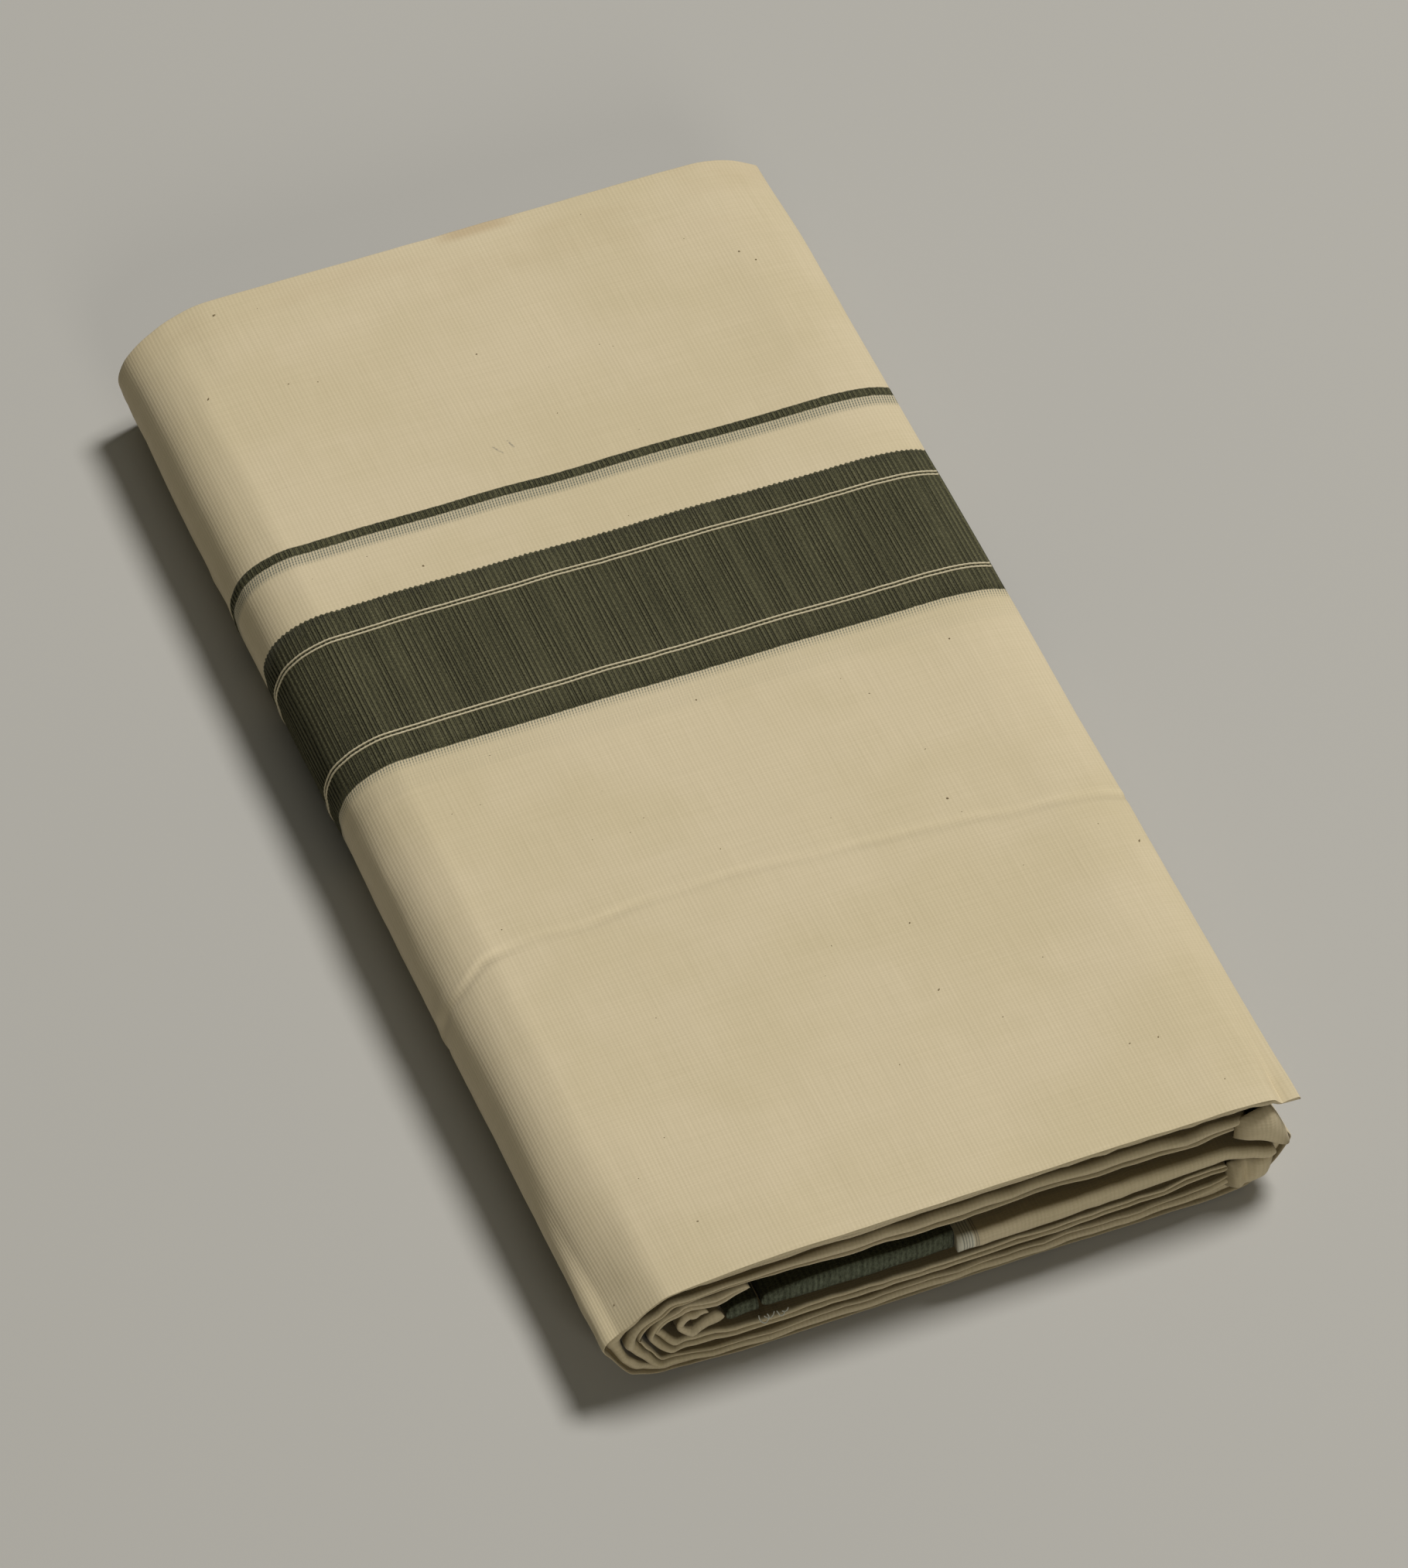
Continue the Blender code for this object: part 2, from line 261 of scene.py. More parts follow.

# The creases listed for the outer cloth, the old fold line first. Each has a line with its height at
# each point, a width, and the share of a lip beside it. On the top and the underside a line runs over x
# and y, and elsewhere over z and y.
CREASES = (
    # side, way it runs, line, width, lip
    ("top", "across", ((-82, -62.6, -0.18), (-72, -57.6, -0.26), (-62, -57, -0.22), (-48, -57.2, -0.12),
                       (-35, -55.4, -0.14), (0, -56.4, -0.10), (30, -59, -0.16),
                       (84, -64.3, -0.18)), 0.9, 0.7),
    ("top", "along", ((-70, -110, 0.04), (-69.5, -60, 0.10), (-69, 40, 0.08), (-72, 160, 0.16)), 2.4, 0.4),
    ("top", "along", ((-70.4, -162, 0.25), (-70.3, -142, 0.16), (-71.5, -118, 0.06),
                      (-73, -90, 0.0)), 2.8, 0.0),
    ("top", "along", ((-76.0, -162, 0.0), (-75.8, -140, -0.08), (-76.4, -115, -0.1),
                      (-78, -88, 0.0)), 3.8, 0.0),
    ("top", "along", ((78.4, -162, -1.0), (78.6, -156, -0.6), (79.2, -146, 0.0)), 1.5, 0.5),
    ("top", "along", ((74, -130, 0.0), (75.5, -80, -0.1), (77, 20, -0.12), (76, 150, -0.08)), 2.6, 0.4),
    ("top", "across", ((-60, 118, 0.0), (-20, 112, -0.08), (40, 121, -0.06), (80, 118, 0.0)), 5.0, 0.4),
    ("left", "along", ((17.0, -162, 0.55), (17.8, -148, 0.4), (19.2, -122, 0.18),
                       (20, -98, 0.0)), 2.4, 0.3),
    ("left", "across", ((2, -61, -0.3), (16, -61.5, -0.35), (29, -63, -0.15)), 1.6, 0.5),
    ("left", "along", ((12, -150, 0.0), (12, -70, -0.3), (14, 40, -0.35), (12, 158, -0.3)), 2.6, 0.5),
    ("left", "along", ((21, -96, 0.0), (21, -70, 0.18), (23, -20, 0.2), (22, 60, 0.0)), 2.4, 0.4),
    ("left", "across", ((3, 84, -0.25), (16, 88, -0.2), (27, 83, -0.05)), 2.6, 0.5),
    ("right", "across", ((2, -66, -0.3), (12, -64, -0.35), (20, -65, -0.2)), 2.0, 0.5),
    ("right", "along", ((13.6, -162, 0.8), (13.6, -150, 0.4), (13, -130, 0.0)), 1.8, 0.3),
    ("right", "along", ((9, -125, 0.0), (11, -40, -0.3), (8, 60, -0.3), (10, 155, -0.25)), 2.0, 0.5),
    ("right", "across", ((3, 96, -0.2), (12, 92, -0.3), (20, 95, -0.1)), 3.0, 0.4),
    ("under", "across", ((-78, -60, -0.3), (-20, -57, -0.25), (30, -59, -0.25), (76, -63, -0.3)), 1.6, 0.0),
    ("under", "along", ((-66, -158, -0.3), (-67, 20, -0.25), (-65, 158, -0.3)), 2.4, 0.0),
)

# The crumpled corners at the near end's right side: lines of points down each, from its left to its right.
CORNER_FOLDS = (
    (
        ((68.6, -157.4, 23.8), (68.4, -158.2, 22.4), (68.2, -158.4, 21.2), (68.0, -158.6, 20.0),
         (68.0, -157.8, 19.0)),
        ((72.0, -157.6, 25.4), (71.8, -159.8, 23.6), (71.4, -160.3, 21.6), (70.8, -160.2, 19.8),
         (70.8, -158.4, 18.8)),
        ((74.4, -157.8, 26.4), (74.4, -160.2, 24.8), (73.8, -161.2, 22.1), (73.2, -160.7, 19.3),
         (73.2, -158.5, 18.2)),
        ((76.6, -157.8, 26.8), (76.8, -160.2, 25.6), (76.0, -161.5, 21.8), (75.4, -160.9, 18.3),
         (75.4, -158.6, 17.0)),
        ((79.0, -158.6, 21.4), (79.3, -160.5, 20.4), (78.6, -161.3, 18.0), (78.2, -160.9, 16.0),
         (78.2, -159.0, 15.0)),
        ((80.8, -159.8, 14.9), (81.1, -160.6, 14.4), (80.9, -160.8, 14.3), (80.7, -160.7, 14.1),
         (80.4, -159.8, 13.8)),
    ),
    (
        ((67.4, -157.4, 9.8), (67.0, -157.8, 8.6), (66.8, -158.0, 6.6), (66.4, -158.2, 4.6),
         (66.2, -157.4, 2.8)),
        ((69.4, -157.8, 10.8), (69.2, -159.8, 9.4), (68.8, -160.9, 7.2), (68.8, -161.0, 4.8),
         (68.4, -158.2, 2.4)),
        ((71.6, -157.8, 11.2), (71.2, -159.0, 9.8), (70.8, -159.6, 7.0), (70.8, -160.2, 4.6),
         (70.8, -158.0, 2.2)),
        ((74.2, -158.2, 11.8), (73.8, -160.7, 10.9), (73.4, -161.1, 8.4), (73.2, -160.5, 5.2),
         (73.0, -158.6, 2.4)),
        ((76.6, -158.4, 12.0), (76.4, -160.4, 11.0), (76.0, -160.9, 8.6), (75.6, -160.3, 5.6),
         (75.2, -158.4, 3.0)),
        ((78.4, -158.2, 12.2), (78.0, -158.9, 11.0), (77.6, -158.8, 8.4), (76.8, -158.6, 5.6),
         (76.0, -158.0, 3.6)),
    ),
)
CORNER_THICKNESS = 0.7
CORNER_STEPS = 8

# How dark the painted shade of these patches is at their left and lower edges, where they lie between plies.
CORNER_PAINTED_SHADE = 0.85

# A crease fades out over this length past its ends. Its line wanders by this share of its width, and its
# height is uneven by that share. Its lip lies this many widths off, and is this many wide.
CREASE_FADE = 6.0
CREASE_WANDER = 0.5
CREASE_UNEVEN = 0.35
LIP_PLACE = 2.2
LIP_WIDTH = 1.3

# Slow swells: their height, then the seed of their waves and the longest and shortest of them.
OUTER_SWELLS = ((0.16, 11, 130.0, 38.0), (0.05, 12, 34.0, 10.0))
INNER_SWELL = 0.06
INNER_SWELL_WAVES = (60.0, 14.0)

# The weave of the top is a little skewed: its slope, the middle of the flap and how far from there it grows,
# how far it wavers, and the run along Y over which it sets in.
SKEW_SLOPE = 0.0125
SKEW_MIDDLE = 87.0
SKEW_REACH = 90.0
SKEW_WAVER = 0.25
SKEW_RUN = (-30.0, 85.0)

# Where the crumpled folds of the near end are pushed in or stand out, and between which distances from the
# near end that sets in.
PRESS_RUN = (14.0, 3.0)
PRESSES = (
    # piece, x, z, radius, way along Y
    ("outer_cloth", -82.5, 17.2, 2.2, -0.5), ("outer_cloth", -79.4, 12.6, 2.4, 1.3),
    ("outer_cloth", -76.4, 5.8, 2.0, -0.5), ("outer_cloth", -78.4, 19.6, 1.6, 0.5),
    ("outer_cloth", -60.0, 1.0, 7.0, 0.7), ("outer_cloth", 20.0, 1.2, 26.0, 0.5),
    ("second_turn_cloth", -77.6, 15.6, 2.3, -0.9), ("second_turn_cloth", -74.7, 12.9, 1.3, 1.5),
    ("second_turn_cloth", -73.6, 10.6, 1.8, -0.6), ("second_turn_cloth", -71.6, 7.8, 1.6, 0.8),
    ("second_turn_cloth", -69.6, 4.6, 2.0, -0.9), ("second_turn_cloth", -66.8, 22.0, 2.4, 0.8),
    ("second_turn_cloth", -61.0, 3.6, 2.6, 0.5),
    ("third_turn_cloth", -71.4, 15.0, 1.6, -0.4), ("third_turn_cloth", -68.2, 12.2, 2.4, 1.5),
    ("third_turn_cloth", -66.4, 8.8, 1.8, -0.6), ("third_turn_cloth", -56.0, 20.0, 3.0, -0.8),
    ("third_turn_cloth", -62.4, 19.0, 1.6, 0.9), ("third_turn_cloth", -57.0, 7.4, 2.2, 0.6),
    ("inner_roll_cloth", -61.4, 16.4, 2.0, -0.7), ("inner_roll_cloth", -64.4, 14.2, 1.3, 0.9),
    ("inner_roll_cloth", -61.6, 10.8, 1.8, -0.9), ("inner_roll_cloth", -55.6, 12.4, 2.6, 0.5),
    ("inner_turn_cloth", 66.0, 14.6, 5.0, 0.6), ("inner_turn_cloth", 76.0, 13.2, 2.4, -0.5),
    ("second_turn_cloth", 22.0, 23.6, 9.0, 0.5), ("second_turn_cloth", 56.0, 23.8, 6.0, -0.5),
    ("second_turn_cloth", 67.0, 5.6, 3.5, 0.9), ("second_turn_cloth", 71.5, 7.3, 1.8, -0.7),
    ("third_turn_cloth", 58.0, 8.9, 4.0, 0.8), ("third_turn_cloth", 65.5, 9.0, 1.8, -0.5),
)

# Ends of white yarn that hang out of the cut border at the near end.
LOOSE_THREADS = (
    ((-46.6, -160.2, 12.4), (-46.4, -161.0, 11.3), (-45.8, -161.3, 10.6), (-45.0, -161.2, 10.7),
     (-44.5, -160.9, 11.5),
     (-44.7, -160.5, 12.3)),
    ((-45.4, -160.4, 11.9), (-44.6, -161.0, 11.4), (-43.6, -161.0, 11.7), (-43.0, -160.5, 12.4)),
    ((-42.4, -160.3, 12.2), (-41.9, -161.0, 11.2), (-41.2, -161.1, 11.0), (-40.8, -160.8, 11.6),
     (-41.3, -160.6, 11.9)),
    ((-40.9, -160.4, 11.5), (-40.2, -161.0, 11.9), (-39.8, -160.6, 12.6)),
)
THREAD_DIAMETER = 0.3
THREAD_WAVINESS = 0.5

# The cut border's yarn against the woven one's, as red, green and blue: it looks cooler end on.
END_TINT = (1.02, 1.2, 1.5)

# Grey lines across the cream cloth where it meets the cut border, as distances from there.
END_LINES = (1.3, 1.95, 2.6, 3.25, 4.2, 4.7)
END_LINE_HALF = 0.2

# The colours of what is on the cloth: the white edge and the grey lines by the cut border, the stain, the
# graphite, the hatch's dark yarn, the husks as lighter and darker part, and the loose white yarn likewise.
END_WHITE = (0.72, 0.71, 0.60)
END_GREY = (0.16, 0.17, 0.16)
STAIN = (0.40, 0.27, 0.14)
GRAPHITE = (0.12, 0.12, 0.12)
HATCH_GREY = (0.11, 0.13, 0.11)
HUSK = ((0.30, 0.23, 0.13), (0.13, 0.095, 0.05))
WHITE_YARN = ((0.62, 0.62, 0.54), (0.42, 0.42, 0.36))
CORD_SHADE = 0.72

# How dull the cloth is, and how far the height in its bump stands for, in metres.
COTTON_SHEEN = 0.12
BORDER_SHEEN = 0.03
OUTER_BUMP = 0.00008
INNER_BUMP = 0.00014
BORDER_BUMP = 0.0002
YARN_BUMP = 0.00015

# How far a rib's underside lies in the cloth, and how far above the ground the lowest rib or cord is, in
# metres.
RIB_SINK = 0.00008
GROUND_GAP = 0.00005

# The ribs and cords start this far from the free edge of the flap, and end this far from the other free edge.
BORDER_START = 1.2
BORDER_STOP = 2.0
RIB_SHARE = 0.86
RIB_UNEVEN = 0.35
CORD_WANDER = 0.35
WIDE_BAND_ROWS = 14
THIN_STRIPE_ROWS = 4

# Two strokes of graphite, as places on the cloth from one end to the other.
PENCIL_STROKES = ((96.6, 89.4, 94.9, 86.6), (92.6, 90.2, 91.8, 87.6))

# Only points of the outer cloth above this height can carry a husk.
TOP_LOW = 20.0

# Sizes of the husks, and how many small ones are placed by chance and where.
FLECK_SIZE = 0.75
SMALL_FLECK_SIZE = 0.4
SMALL_FLECKS = 46
SMALL_FLECK_PLACES = ((-72.0, 78.0), (-155.0, 155.0))

# Dark husks in the top, as x and y.
FLECKS = (
    (-58.5, 154.9), (-49.9, 126.9), (-43.2, 125.0), (-69.2, 129.6), (65.8, 127.6), (68.5, 123.7),
    (80.2, -78.3), (60.0, -134.5), (53.3, -133.8), (-77.5, -152.5), (-5.1, 119.2), (-41.2, 60.0),
    (3.2, 48.0), (2.1, -2.6), (19.9, -103.6), (21.6, -82.9), (-64.3, -50.2), (-54.6, -144.1),
    (63.5, -7.0), (44.0, -52.0), (-72.9, -139.9),
)

# The height of the camera's frame, and the point that it looks at in metres.
FRAME_PIXELS = 2027
CAMERA_TARGET = (0.00446, -0.0016, 0.0)
SENSOR_WIDTH = 36.0

# The lights: their place and diameter in metres, and their colour. Then the colour of the surroundings, and
# the floor's half side, height and colours.
KEY_LIGHT = ((2.1, 0.75, 4.6), 1.7, (1.0, 0.985, 0.955))
FILL_LIGHT = ((-0.2, -3.2, 1.6), 1.2, (1.0, 0.97, 0.88))
ROOM = (1.0, 0.96, 0.72)
FLOOR_HALF = 4.0
FLOOR_LOW = -0.0003
FLOOR_COLOURS = ((0.45, 0.44, 0.415), (0.47, 0.46, 0.435))

# The middle of the packet's box lies a little off the paths' own middle.
FOOT_SHIFT = FRAME_LOW.x / MM - min(row[0] - 0.5 * row[2] for row in PATHS["outer_turn"])

BUILT = {}


def sizes(name, description, default, **kinds):
    """A length property in metres, shown as one."""
    return bpy.props.FloatProperty(
        name=name, description=description, default=default, unit="LENGTH", precision=5, **kinds
    )


class DhotiBorder(bpy.types.PropertyGroup):
    """Sizes of the woven borders that cross the packet."""

    wide_near: sizes("Wide band, near edge", "Y of the wide band's near edge", 5.5 * MM)
    wide_far: sizes("Wide band, far edge", "Y of the wide band's far edge", 54.1 * MM)
    thin_near: sizes("Thin stripe, near edge", "Y of the thin stripe's near edge", 73.6 * MM)
    thin_far: sizes("Thin stripe, far edge", "Y of the thin stripe's far edge", 76.4 * MM)
    near_pin: sizes("Near pinstripe", "Y of the pinstripe pair by the near edge", 13.7 * MM)
    far_pin: sizes("Far pinstripe", "Y of the pinstripe pair by the far edge", 45.8 * MM)
    pin_gap: sizes("Pinstripe gap", "Distance between the two cords of a pinstripe", 1.1 * MM)
    pin_cord: sizes("Pinstripe cord", "Diameter of a pinstripe's cord", 0.52 * MM)
    rib_pitch: sizes("Rib pitch", "Distance from rib to rib", 1.3 * MM)
    rib_height: sizes("Rib height", "How far a rib stands out of the cloth", 0.2 * MM)
    hatch: sizes("Hatched fringe", "Width of the hatched cloth at a border's near edge", 3.2 * MM)


class DhotiColours(bpy.types.PropertyGroup):
    """Colours of the yarns, and the painted shade between the border's ribs."""

    ecru: bpy.props.FloatVectorProperty(
        name="Ecru", description="Unbleached cotton", subtype="COLOR", default=(0.600, 0.510, 0.335)
    )
    ecru_pale: bpy.props.FloatVectorProperty(
        name="Pale ecru", description="Paler patches of it", subtype="COLOR", default=(0.632, 0.538, 0.366)
    )
    border: bpy.props.FloatVectorProperty(
        name="Border", description="Dark olive border yarn", subtype="COLOR", default=(0.152, 0.144, 0.080)
    )
    # The groove colour is a darker copy of the border yarn: painted shade between the ribs.
    groove_shade: bpy.props.FloatVectorProperty(
        name="Groove", description="Border yarn between ribs, darkened as painted shade", subtype="COLOR", default=(0.020, 0.020, 0.011)
    )
    cord: bpy.props.FloatVectorProperty(
        name="Pinstripe cord", description="Pale pinstripe yarn", subtype="COLOR", default=(0.70, 0.62, 0.43)
    )


class DhotiStage(bpy.types.PropertyGroup):
    """The floor, the lights and the camera."""

    azimuth: bpy.props.FloatProperty(
        name="Azimuth", description="Camera's turn round the packet", subtype="ANGLE",
        default=math.radians(-21.986),
    )
    elevation: bpy.props.FloatProperty(
        name="Elevation", description="Camera's height", subtype="ANGLE", default=math.radians(48.786)
    )
    distance: sizes("Distance", "Camera to the middle of the packet", 2.1602)
    focal_px: bpy.props.FloatProperty(
        name="Focal length", description="Focal length in pixels of the 2027 pixel high frame",
        default=12000.0,
    )
    key_power: bpy.props.FloatProperty(
        name="Key light", description="Power of the key light", unit="POWER", default=227.0
    )
    fill_power: bpy.props.FloatProperty(
        name="Fill light", description="Power of the low light at the near end", unit="POWER", default=22.0
    )
    ambient: bpy.props.FloatProperty(
        name="Ambient", description="Strength of the surroundings", default=0.07
    )


def smoothstep(low, high, value):
    """0 at low, 1 at high, with a soft run between them, also where low is above high."""
    t = np.clip((value - low) / (high - low), 0.0, 1.0)
    return t * t * (3.0 - 2.0 * t)


def row_slopes(values, steps):
    """Slopes at the rows that keep a smooth curve between the values of its rows."""
    rises = np.diff(values) / steps
    slopes = np.concatenate([rises[:1], np.zeros(len(rises) - 1), rises[-1:]])
    for k in range(1, len(rises)):
        before, after = rises[k - 1], rises[k]
        if before * after > 0.0:
            w0, w1 = 2.0 * steps[k] + steps[k - 1], steps[k] + 2.0 * steps[k - 1]
            slopes[k] = (w0 + w1) / (w0 / before + w1 / after)
    return slopes


def read_rows(rows, at):
    """The rows' columns as smooth curves, read at these distances along the straight lines between rows."""
    rows = np.array(rows, float)
    steps = np.hypot(*np.diff(rows[:, :2], axis=0).T)
    starts = np.concatenate([[0.0], np.cumsum(steps)])
    k = np.clip(np.searchsorted(starts, at, side="right") - 1, 0, len(steps) - 1)
    h = steps[k]
    t = (at - starts[k]) / h
    columns = []
    for values in rows.T:
        m = row_slopes(values, steps)
        v0, v1, m0, m1 = values[k], values[k + 1], m[k], m[k + 1]
        rest = 1.0 - t
        value = v0 * rest**2 * (1.0 + 2.0 * t) + v1 * t**2 * (3.0 - 2.0 * t)
        columns.append(value + h * t * rest * (m0 * rest - m1 * t))
    return np.array(columns), starts[-1]


def turning(x, z):
    """How far the direction of the line turns from point to point, in radians."""
    angle = np.unwrap(np.arctan2(np.gradient(z), np.gradient(x)))
    return np.abs(np.diff(angle))


def path_stations(rows, step):
    """The path's columns at stations that lie closer together where the path bends."""
    length = read_rows(rows, np.zeros(1))[1]
    fine = np.linspace(0.0, length, int(length / PATH_READING_STEP) + 2)
    columns, _ = read_rows(rows, fine)
    spread = np.hypot(np.diff(columns[0]), np.diff(columns[1])) / step
    spread += np.maximum(turning(columns[0], columns[1]), turning(columns[3], columns[4])) / BEND_STEP
    measure = np.concatenate([[0.0], np.cumsum(spread)])
    count = max(int(math.ceil(measure[-1])), FEWEST_SECTIONS)
    places = np.interp(np.linspace(0.0, measure[-1], count + 1), measure, fine)
    return read_rows(rows, places)[0]


def wander(at, seed, longest, shortest, waves=9):
    """A smooth uneven line, about -1 to 1, from waves of random length and place."""
    rng = np.random.default_rng(seed)
    total = np.zeros_like(at, dtype=float)
    for _ in range(waves):
        wave = math.exp(rng.uniform(math.log(shortest), math.log(longest)))
        total += np.sin(2.0 * math.pi * (at / wave + rng.random())) * (wave / longest) ** 0.35
    return total / math.sqrt(waves)


def rolling(u, v, seed, longest, shortest, waves=14):
    """A smooth uneven field over the cloth, about -1 to 1."""
    rng = np.random.default_rng(seed)
    total = np.zeros_like(u, dtype=float)
    for _ in range(waves):
        wave = math.exp(rng.uniform(math.log(shortest), math.log(longest)))
        way = rng.uniform(0.0, math.pi)
        along = u * math.cos(way) + v * math.sin(way)
        total += np.sin(2.0 * math.pi * (along / wave + rng.random())) * (wave / longest) ** 0.5
    return total / math.sqrt(waves)


def settle(x, y, z):
    """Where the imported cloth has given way: corners pressed or rounded, and the middle risen a little."""
    near = smoothstep(NEAR_Y + NEAR_REACH, NEAR_Y, y)
    far = smoothstep(FAR_Y - FAR_REACH, FAR_Y, y)
    left = smoothstep(*LEFT_CORNERS, x)
    right = smoothstep(*RIGHT_CORNERS, x)
    high = smoothstep(0.0, HEIGHT, z)
    middle = 0.5 * HEIGHT
    z = middle + (z - middle) * (1.0 - NEAR_LEFT_PINCH * near * left - FAR_LEFT_PINCH * far * left)
    z = z - FAR_RIGHT_DROP * far * right * high
    y = y - FAR_LEFT_IN * far * smoothstep(*LEFT_TIP, x) - FAR_RIGHT_IN[1] * far * right * right
    x = x - FAR_RIGHT_IN[0] * far * right
    crown = np.cos(math.pi * y / LENGTH) * np.cos(math.pi * x / CROWN_SPAN)
    z = z + CROWN_RISE * high * (crown - 0.5)
    return x, y, np.maximum(z, 0.0)


def row_places(near, far, extra):
    """Where the flat of the cloth has points along Y, closer together by its fold edges."""
    places, reach, step = [], 0.0, FIRST_ROW_STEP
    while reach < 0.5 * (far - near):
        places += [near + reach, far - reach]
        reach += step
        step = min(step * ROW_GROWTH, MOST_ROW_STEP)
    places = np.unique(np.round(np.array(places + list(extra)), 3))
    keep = [places[0]]
    for place in places[1:]:
        if place - keep[-1] > LEAST_ROW_GAP:
            keep.append(place)
    return np.array(keep)


def fold_profile(plies):
    """Round a fold edge, from the outer side to the inner, as rows of values.

    They are the side, how far out, the share of the way, the setback, how deep between plies, which sets the
    painted shade there, and whether the row is by the bundle's outer side.
    """
    rows = []
    for number, (high, low, setback) in enumerate(plies):
        for turn in np.linspace(0.0, math.pi, FOLD_STEPS[min(number, 1)] + 1):
            side = 0.5 * (high + low) + 0.5 * (high - low) * math.cos(turn)
            bow = math.sin(turn) ** FOLD_FULLNESS
            share = (number + turn / math.pi) / len(plies)
            # The depth sets the painted shade: none on a fold's crest, full where two plies meet.
            depth = (1.0 - bow) ** PLY_SHADE_FALL
            outside = number == 0 and turn < 0.5 * math.pi
            rows.append((side, bow, share, setback, depth, outside))
    return rows


class Sweep:
    """A bundle's closed surface: arrays of stations along the path by points round the section."""

    def __init__(self, rows, piece, insets, fold, ragged, plies):
        self.piece = piece
        self.seed = sum(ord(letter) for letter in piece)
        self.profile = fold_profile(FOLD_PLIES[plies])
        self.fold_steps = len(self.profile) - 1
        stations = path_stations(rows, STRAIGHT_STEP)
        mid, near, narrow = self.with_ends(stations[:3], stations[3:])
        self.u = self.outer_length(mid)
        crumple = 1.0 + BEND_UNEVEN * self.bends(near) if piece != "outer_cloth" else 1.0
        inset = insets[0] + (insets[1] - insets[0]) * smoothstep(*INSET_RUN, self.u / self.u[-1])
        near_waves = 1.0 + wander(self.u, self.seed, *NEAR_EDGE_WAVES)
        far_waves = 1.0 + wander(self.u, self.seed + 1, *FAR_EDGE_WAVES)
        edge_near = NEAR_Y + inset + ragged * crumple * near_waves
        edge_far = FAR_Y - insets[2] - ragged * far_waves
        reach_near = np.minimum(0.5 * near[2], fold) * narrow
        reach_far = np.minimum(0.5 * mid[2], fold) * narrow
        first, last = edge_near + reach_near, edge_far - reach_far
        crease_rows = np.arange(*CREASE_ROWS) if piece == "outer_cloth" else ()
        flat = row_places(first.max() + FLAT_MARGIN, last.min() - FLAT_MARGIN, crease_rows)
        self.build_ring(first, last, flat, reach_near, reach_far)
        self.place(mid, near, narrow)

    def with_ends(self, mid, near):
        """Adds the sections that round off the two ends of the path."""
        narrow = np.ones(mid.shape[1])
        turns = np.radians(PATH_END_TURNS)
        for at_start, blunt in ((True, self.piece in BLUNT_START), (False, self.piece in BLUNT_END)):
            if blunt:
                continue
            grown = []
            for line in (mid, near):
                tip, inner = (line[:, 0], line[:, 1]) if at_start else (line[:, -1], line[:, -2])
                along = (tip - inner)[:2] / np.hypot(*(tip - inner)[:2])
                rounds = np.tile(tip[:, None], (1, len(turns)))
                rounds[:2] += along[:, None] * 0.5 * tip[2] * np.sin(turns)
                grown.append(np.hstack([rounds[:, ::-1], line] if at_start else [line, rounds]))
            mid, near = grown
            thinner = np.cos(turns)
            narrow = np.concatenate([thinner[::-1], narrow] if at_start else [narrow, thinner])
        return mid, near, narrow

    def directions(self, line):
        """Unit outward normals of the path, as x and z."""
        dx, dz = np.gradient(line[0]), np.gradient(line[1])
        size = np.maximum(np.hypot(dx, dz), 1e-9)
        return dz / size, -dx / size

    def bends(self, line):
        """1 where the path bends or ends, and 0 on its straight stretches."""
        start, end = self.u[0], self.u[-1]
        at_start = smoothstep(start + END_BENDS, start, self.u)
        at_end = smoothstep(end - END_BENDS, end, self.u)
        return np.clip(at_start + at_end + smoothstep(*LEFT_BENDS, line[0]), 0.0, 1.0)

    def outer_length(self, line):
        """Distance along the outer side, so that the weave isn't stretched round a fold."""
        nx, nz = self.directions(line)
        x, z = line[0] + nx * 0.5 * line[2], line[1] + nz * 0.5 * line[2]
        return np.concatenate([[0.0], np.cumsum(np.hypot(np.diff(x), np.diff(z)))])

    def build_ring(self, first, last, flat, reach_near, reach_far):
        """Round the section: the inner side to the near edge, the outer to the far edge, and back."""
        count = len(first)
        inner_near = flat[flat < 0.0][::-1]
        inner_far = flat[flat >= 0.0][::-1]
        ys, vs, sides, shade_depths = [], [], [], []
        bare = self.piece == "outer_cloth"

        def add(y, v, side, depth=1.0):
            ys.append(y)
            vs.append(v)
            sides.append(np.full(count, side))
            shade_depths.append(np.full(count, depth))

        def out(reach, bow, setback):
            back = setback * (1.0 + SETBACK_UNEVEN * wander(self.u, self.seed + 30, *FAR_EDGE_WAVES))
            return np.maximum(reach - back, LEAST_REACH * reach) * bow

        arc_near, arc_far = FOLD_ARC * reach_near, FOLD_ARC * reach_far
        # Each row's depth sets its painted shade: full on the sides that lie against other cloth, by the
        # fold's shape round a fold edge, and none on the outer cloth's open side.
        for y in inner_near:
            add(np.full(count, y), 2.0 * first - y - 2.0 * arc_near, -1.0)
        for side, bow, share, setback, depth, outside in reversed(self.profile):
            depth = 0.0 if bare and outside else depth
            add(first - out(reach_near, bow, setback), first - 2.0 * arc_near * share, side, depth)
        for y in flat:
            add(np.full(count, y), np.full(count, y), 1.0, 0.0 if bare else 1.0)
        for side, bow, share, setback, depth, outside in self.profile:
            depth = 0.0 if bare and outside else depth
            add(last + out(reach_far, bow, setback), last + 2.0 * arc_far * share, side, depth)
        for y in inner_far:
            add(np.full(count, y), 2.0 * last - y + 2.0 * arc_far, -1.0)
        self.y, self.v, self.side, self.depth = (np.array(part).T for part in (ys, vs, sides, shade_depths))
        self.near_count = len(inner_near)
        self.flat_count = len(flat)

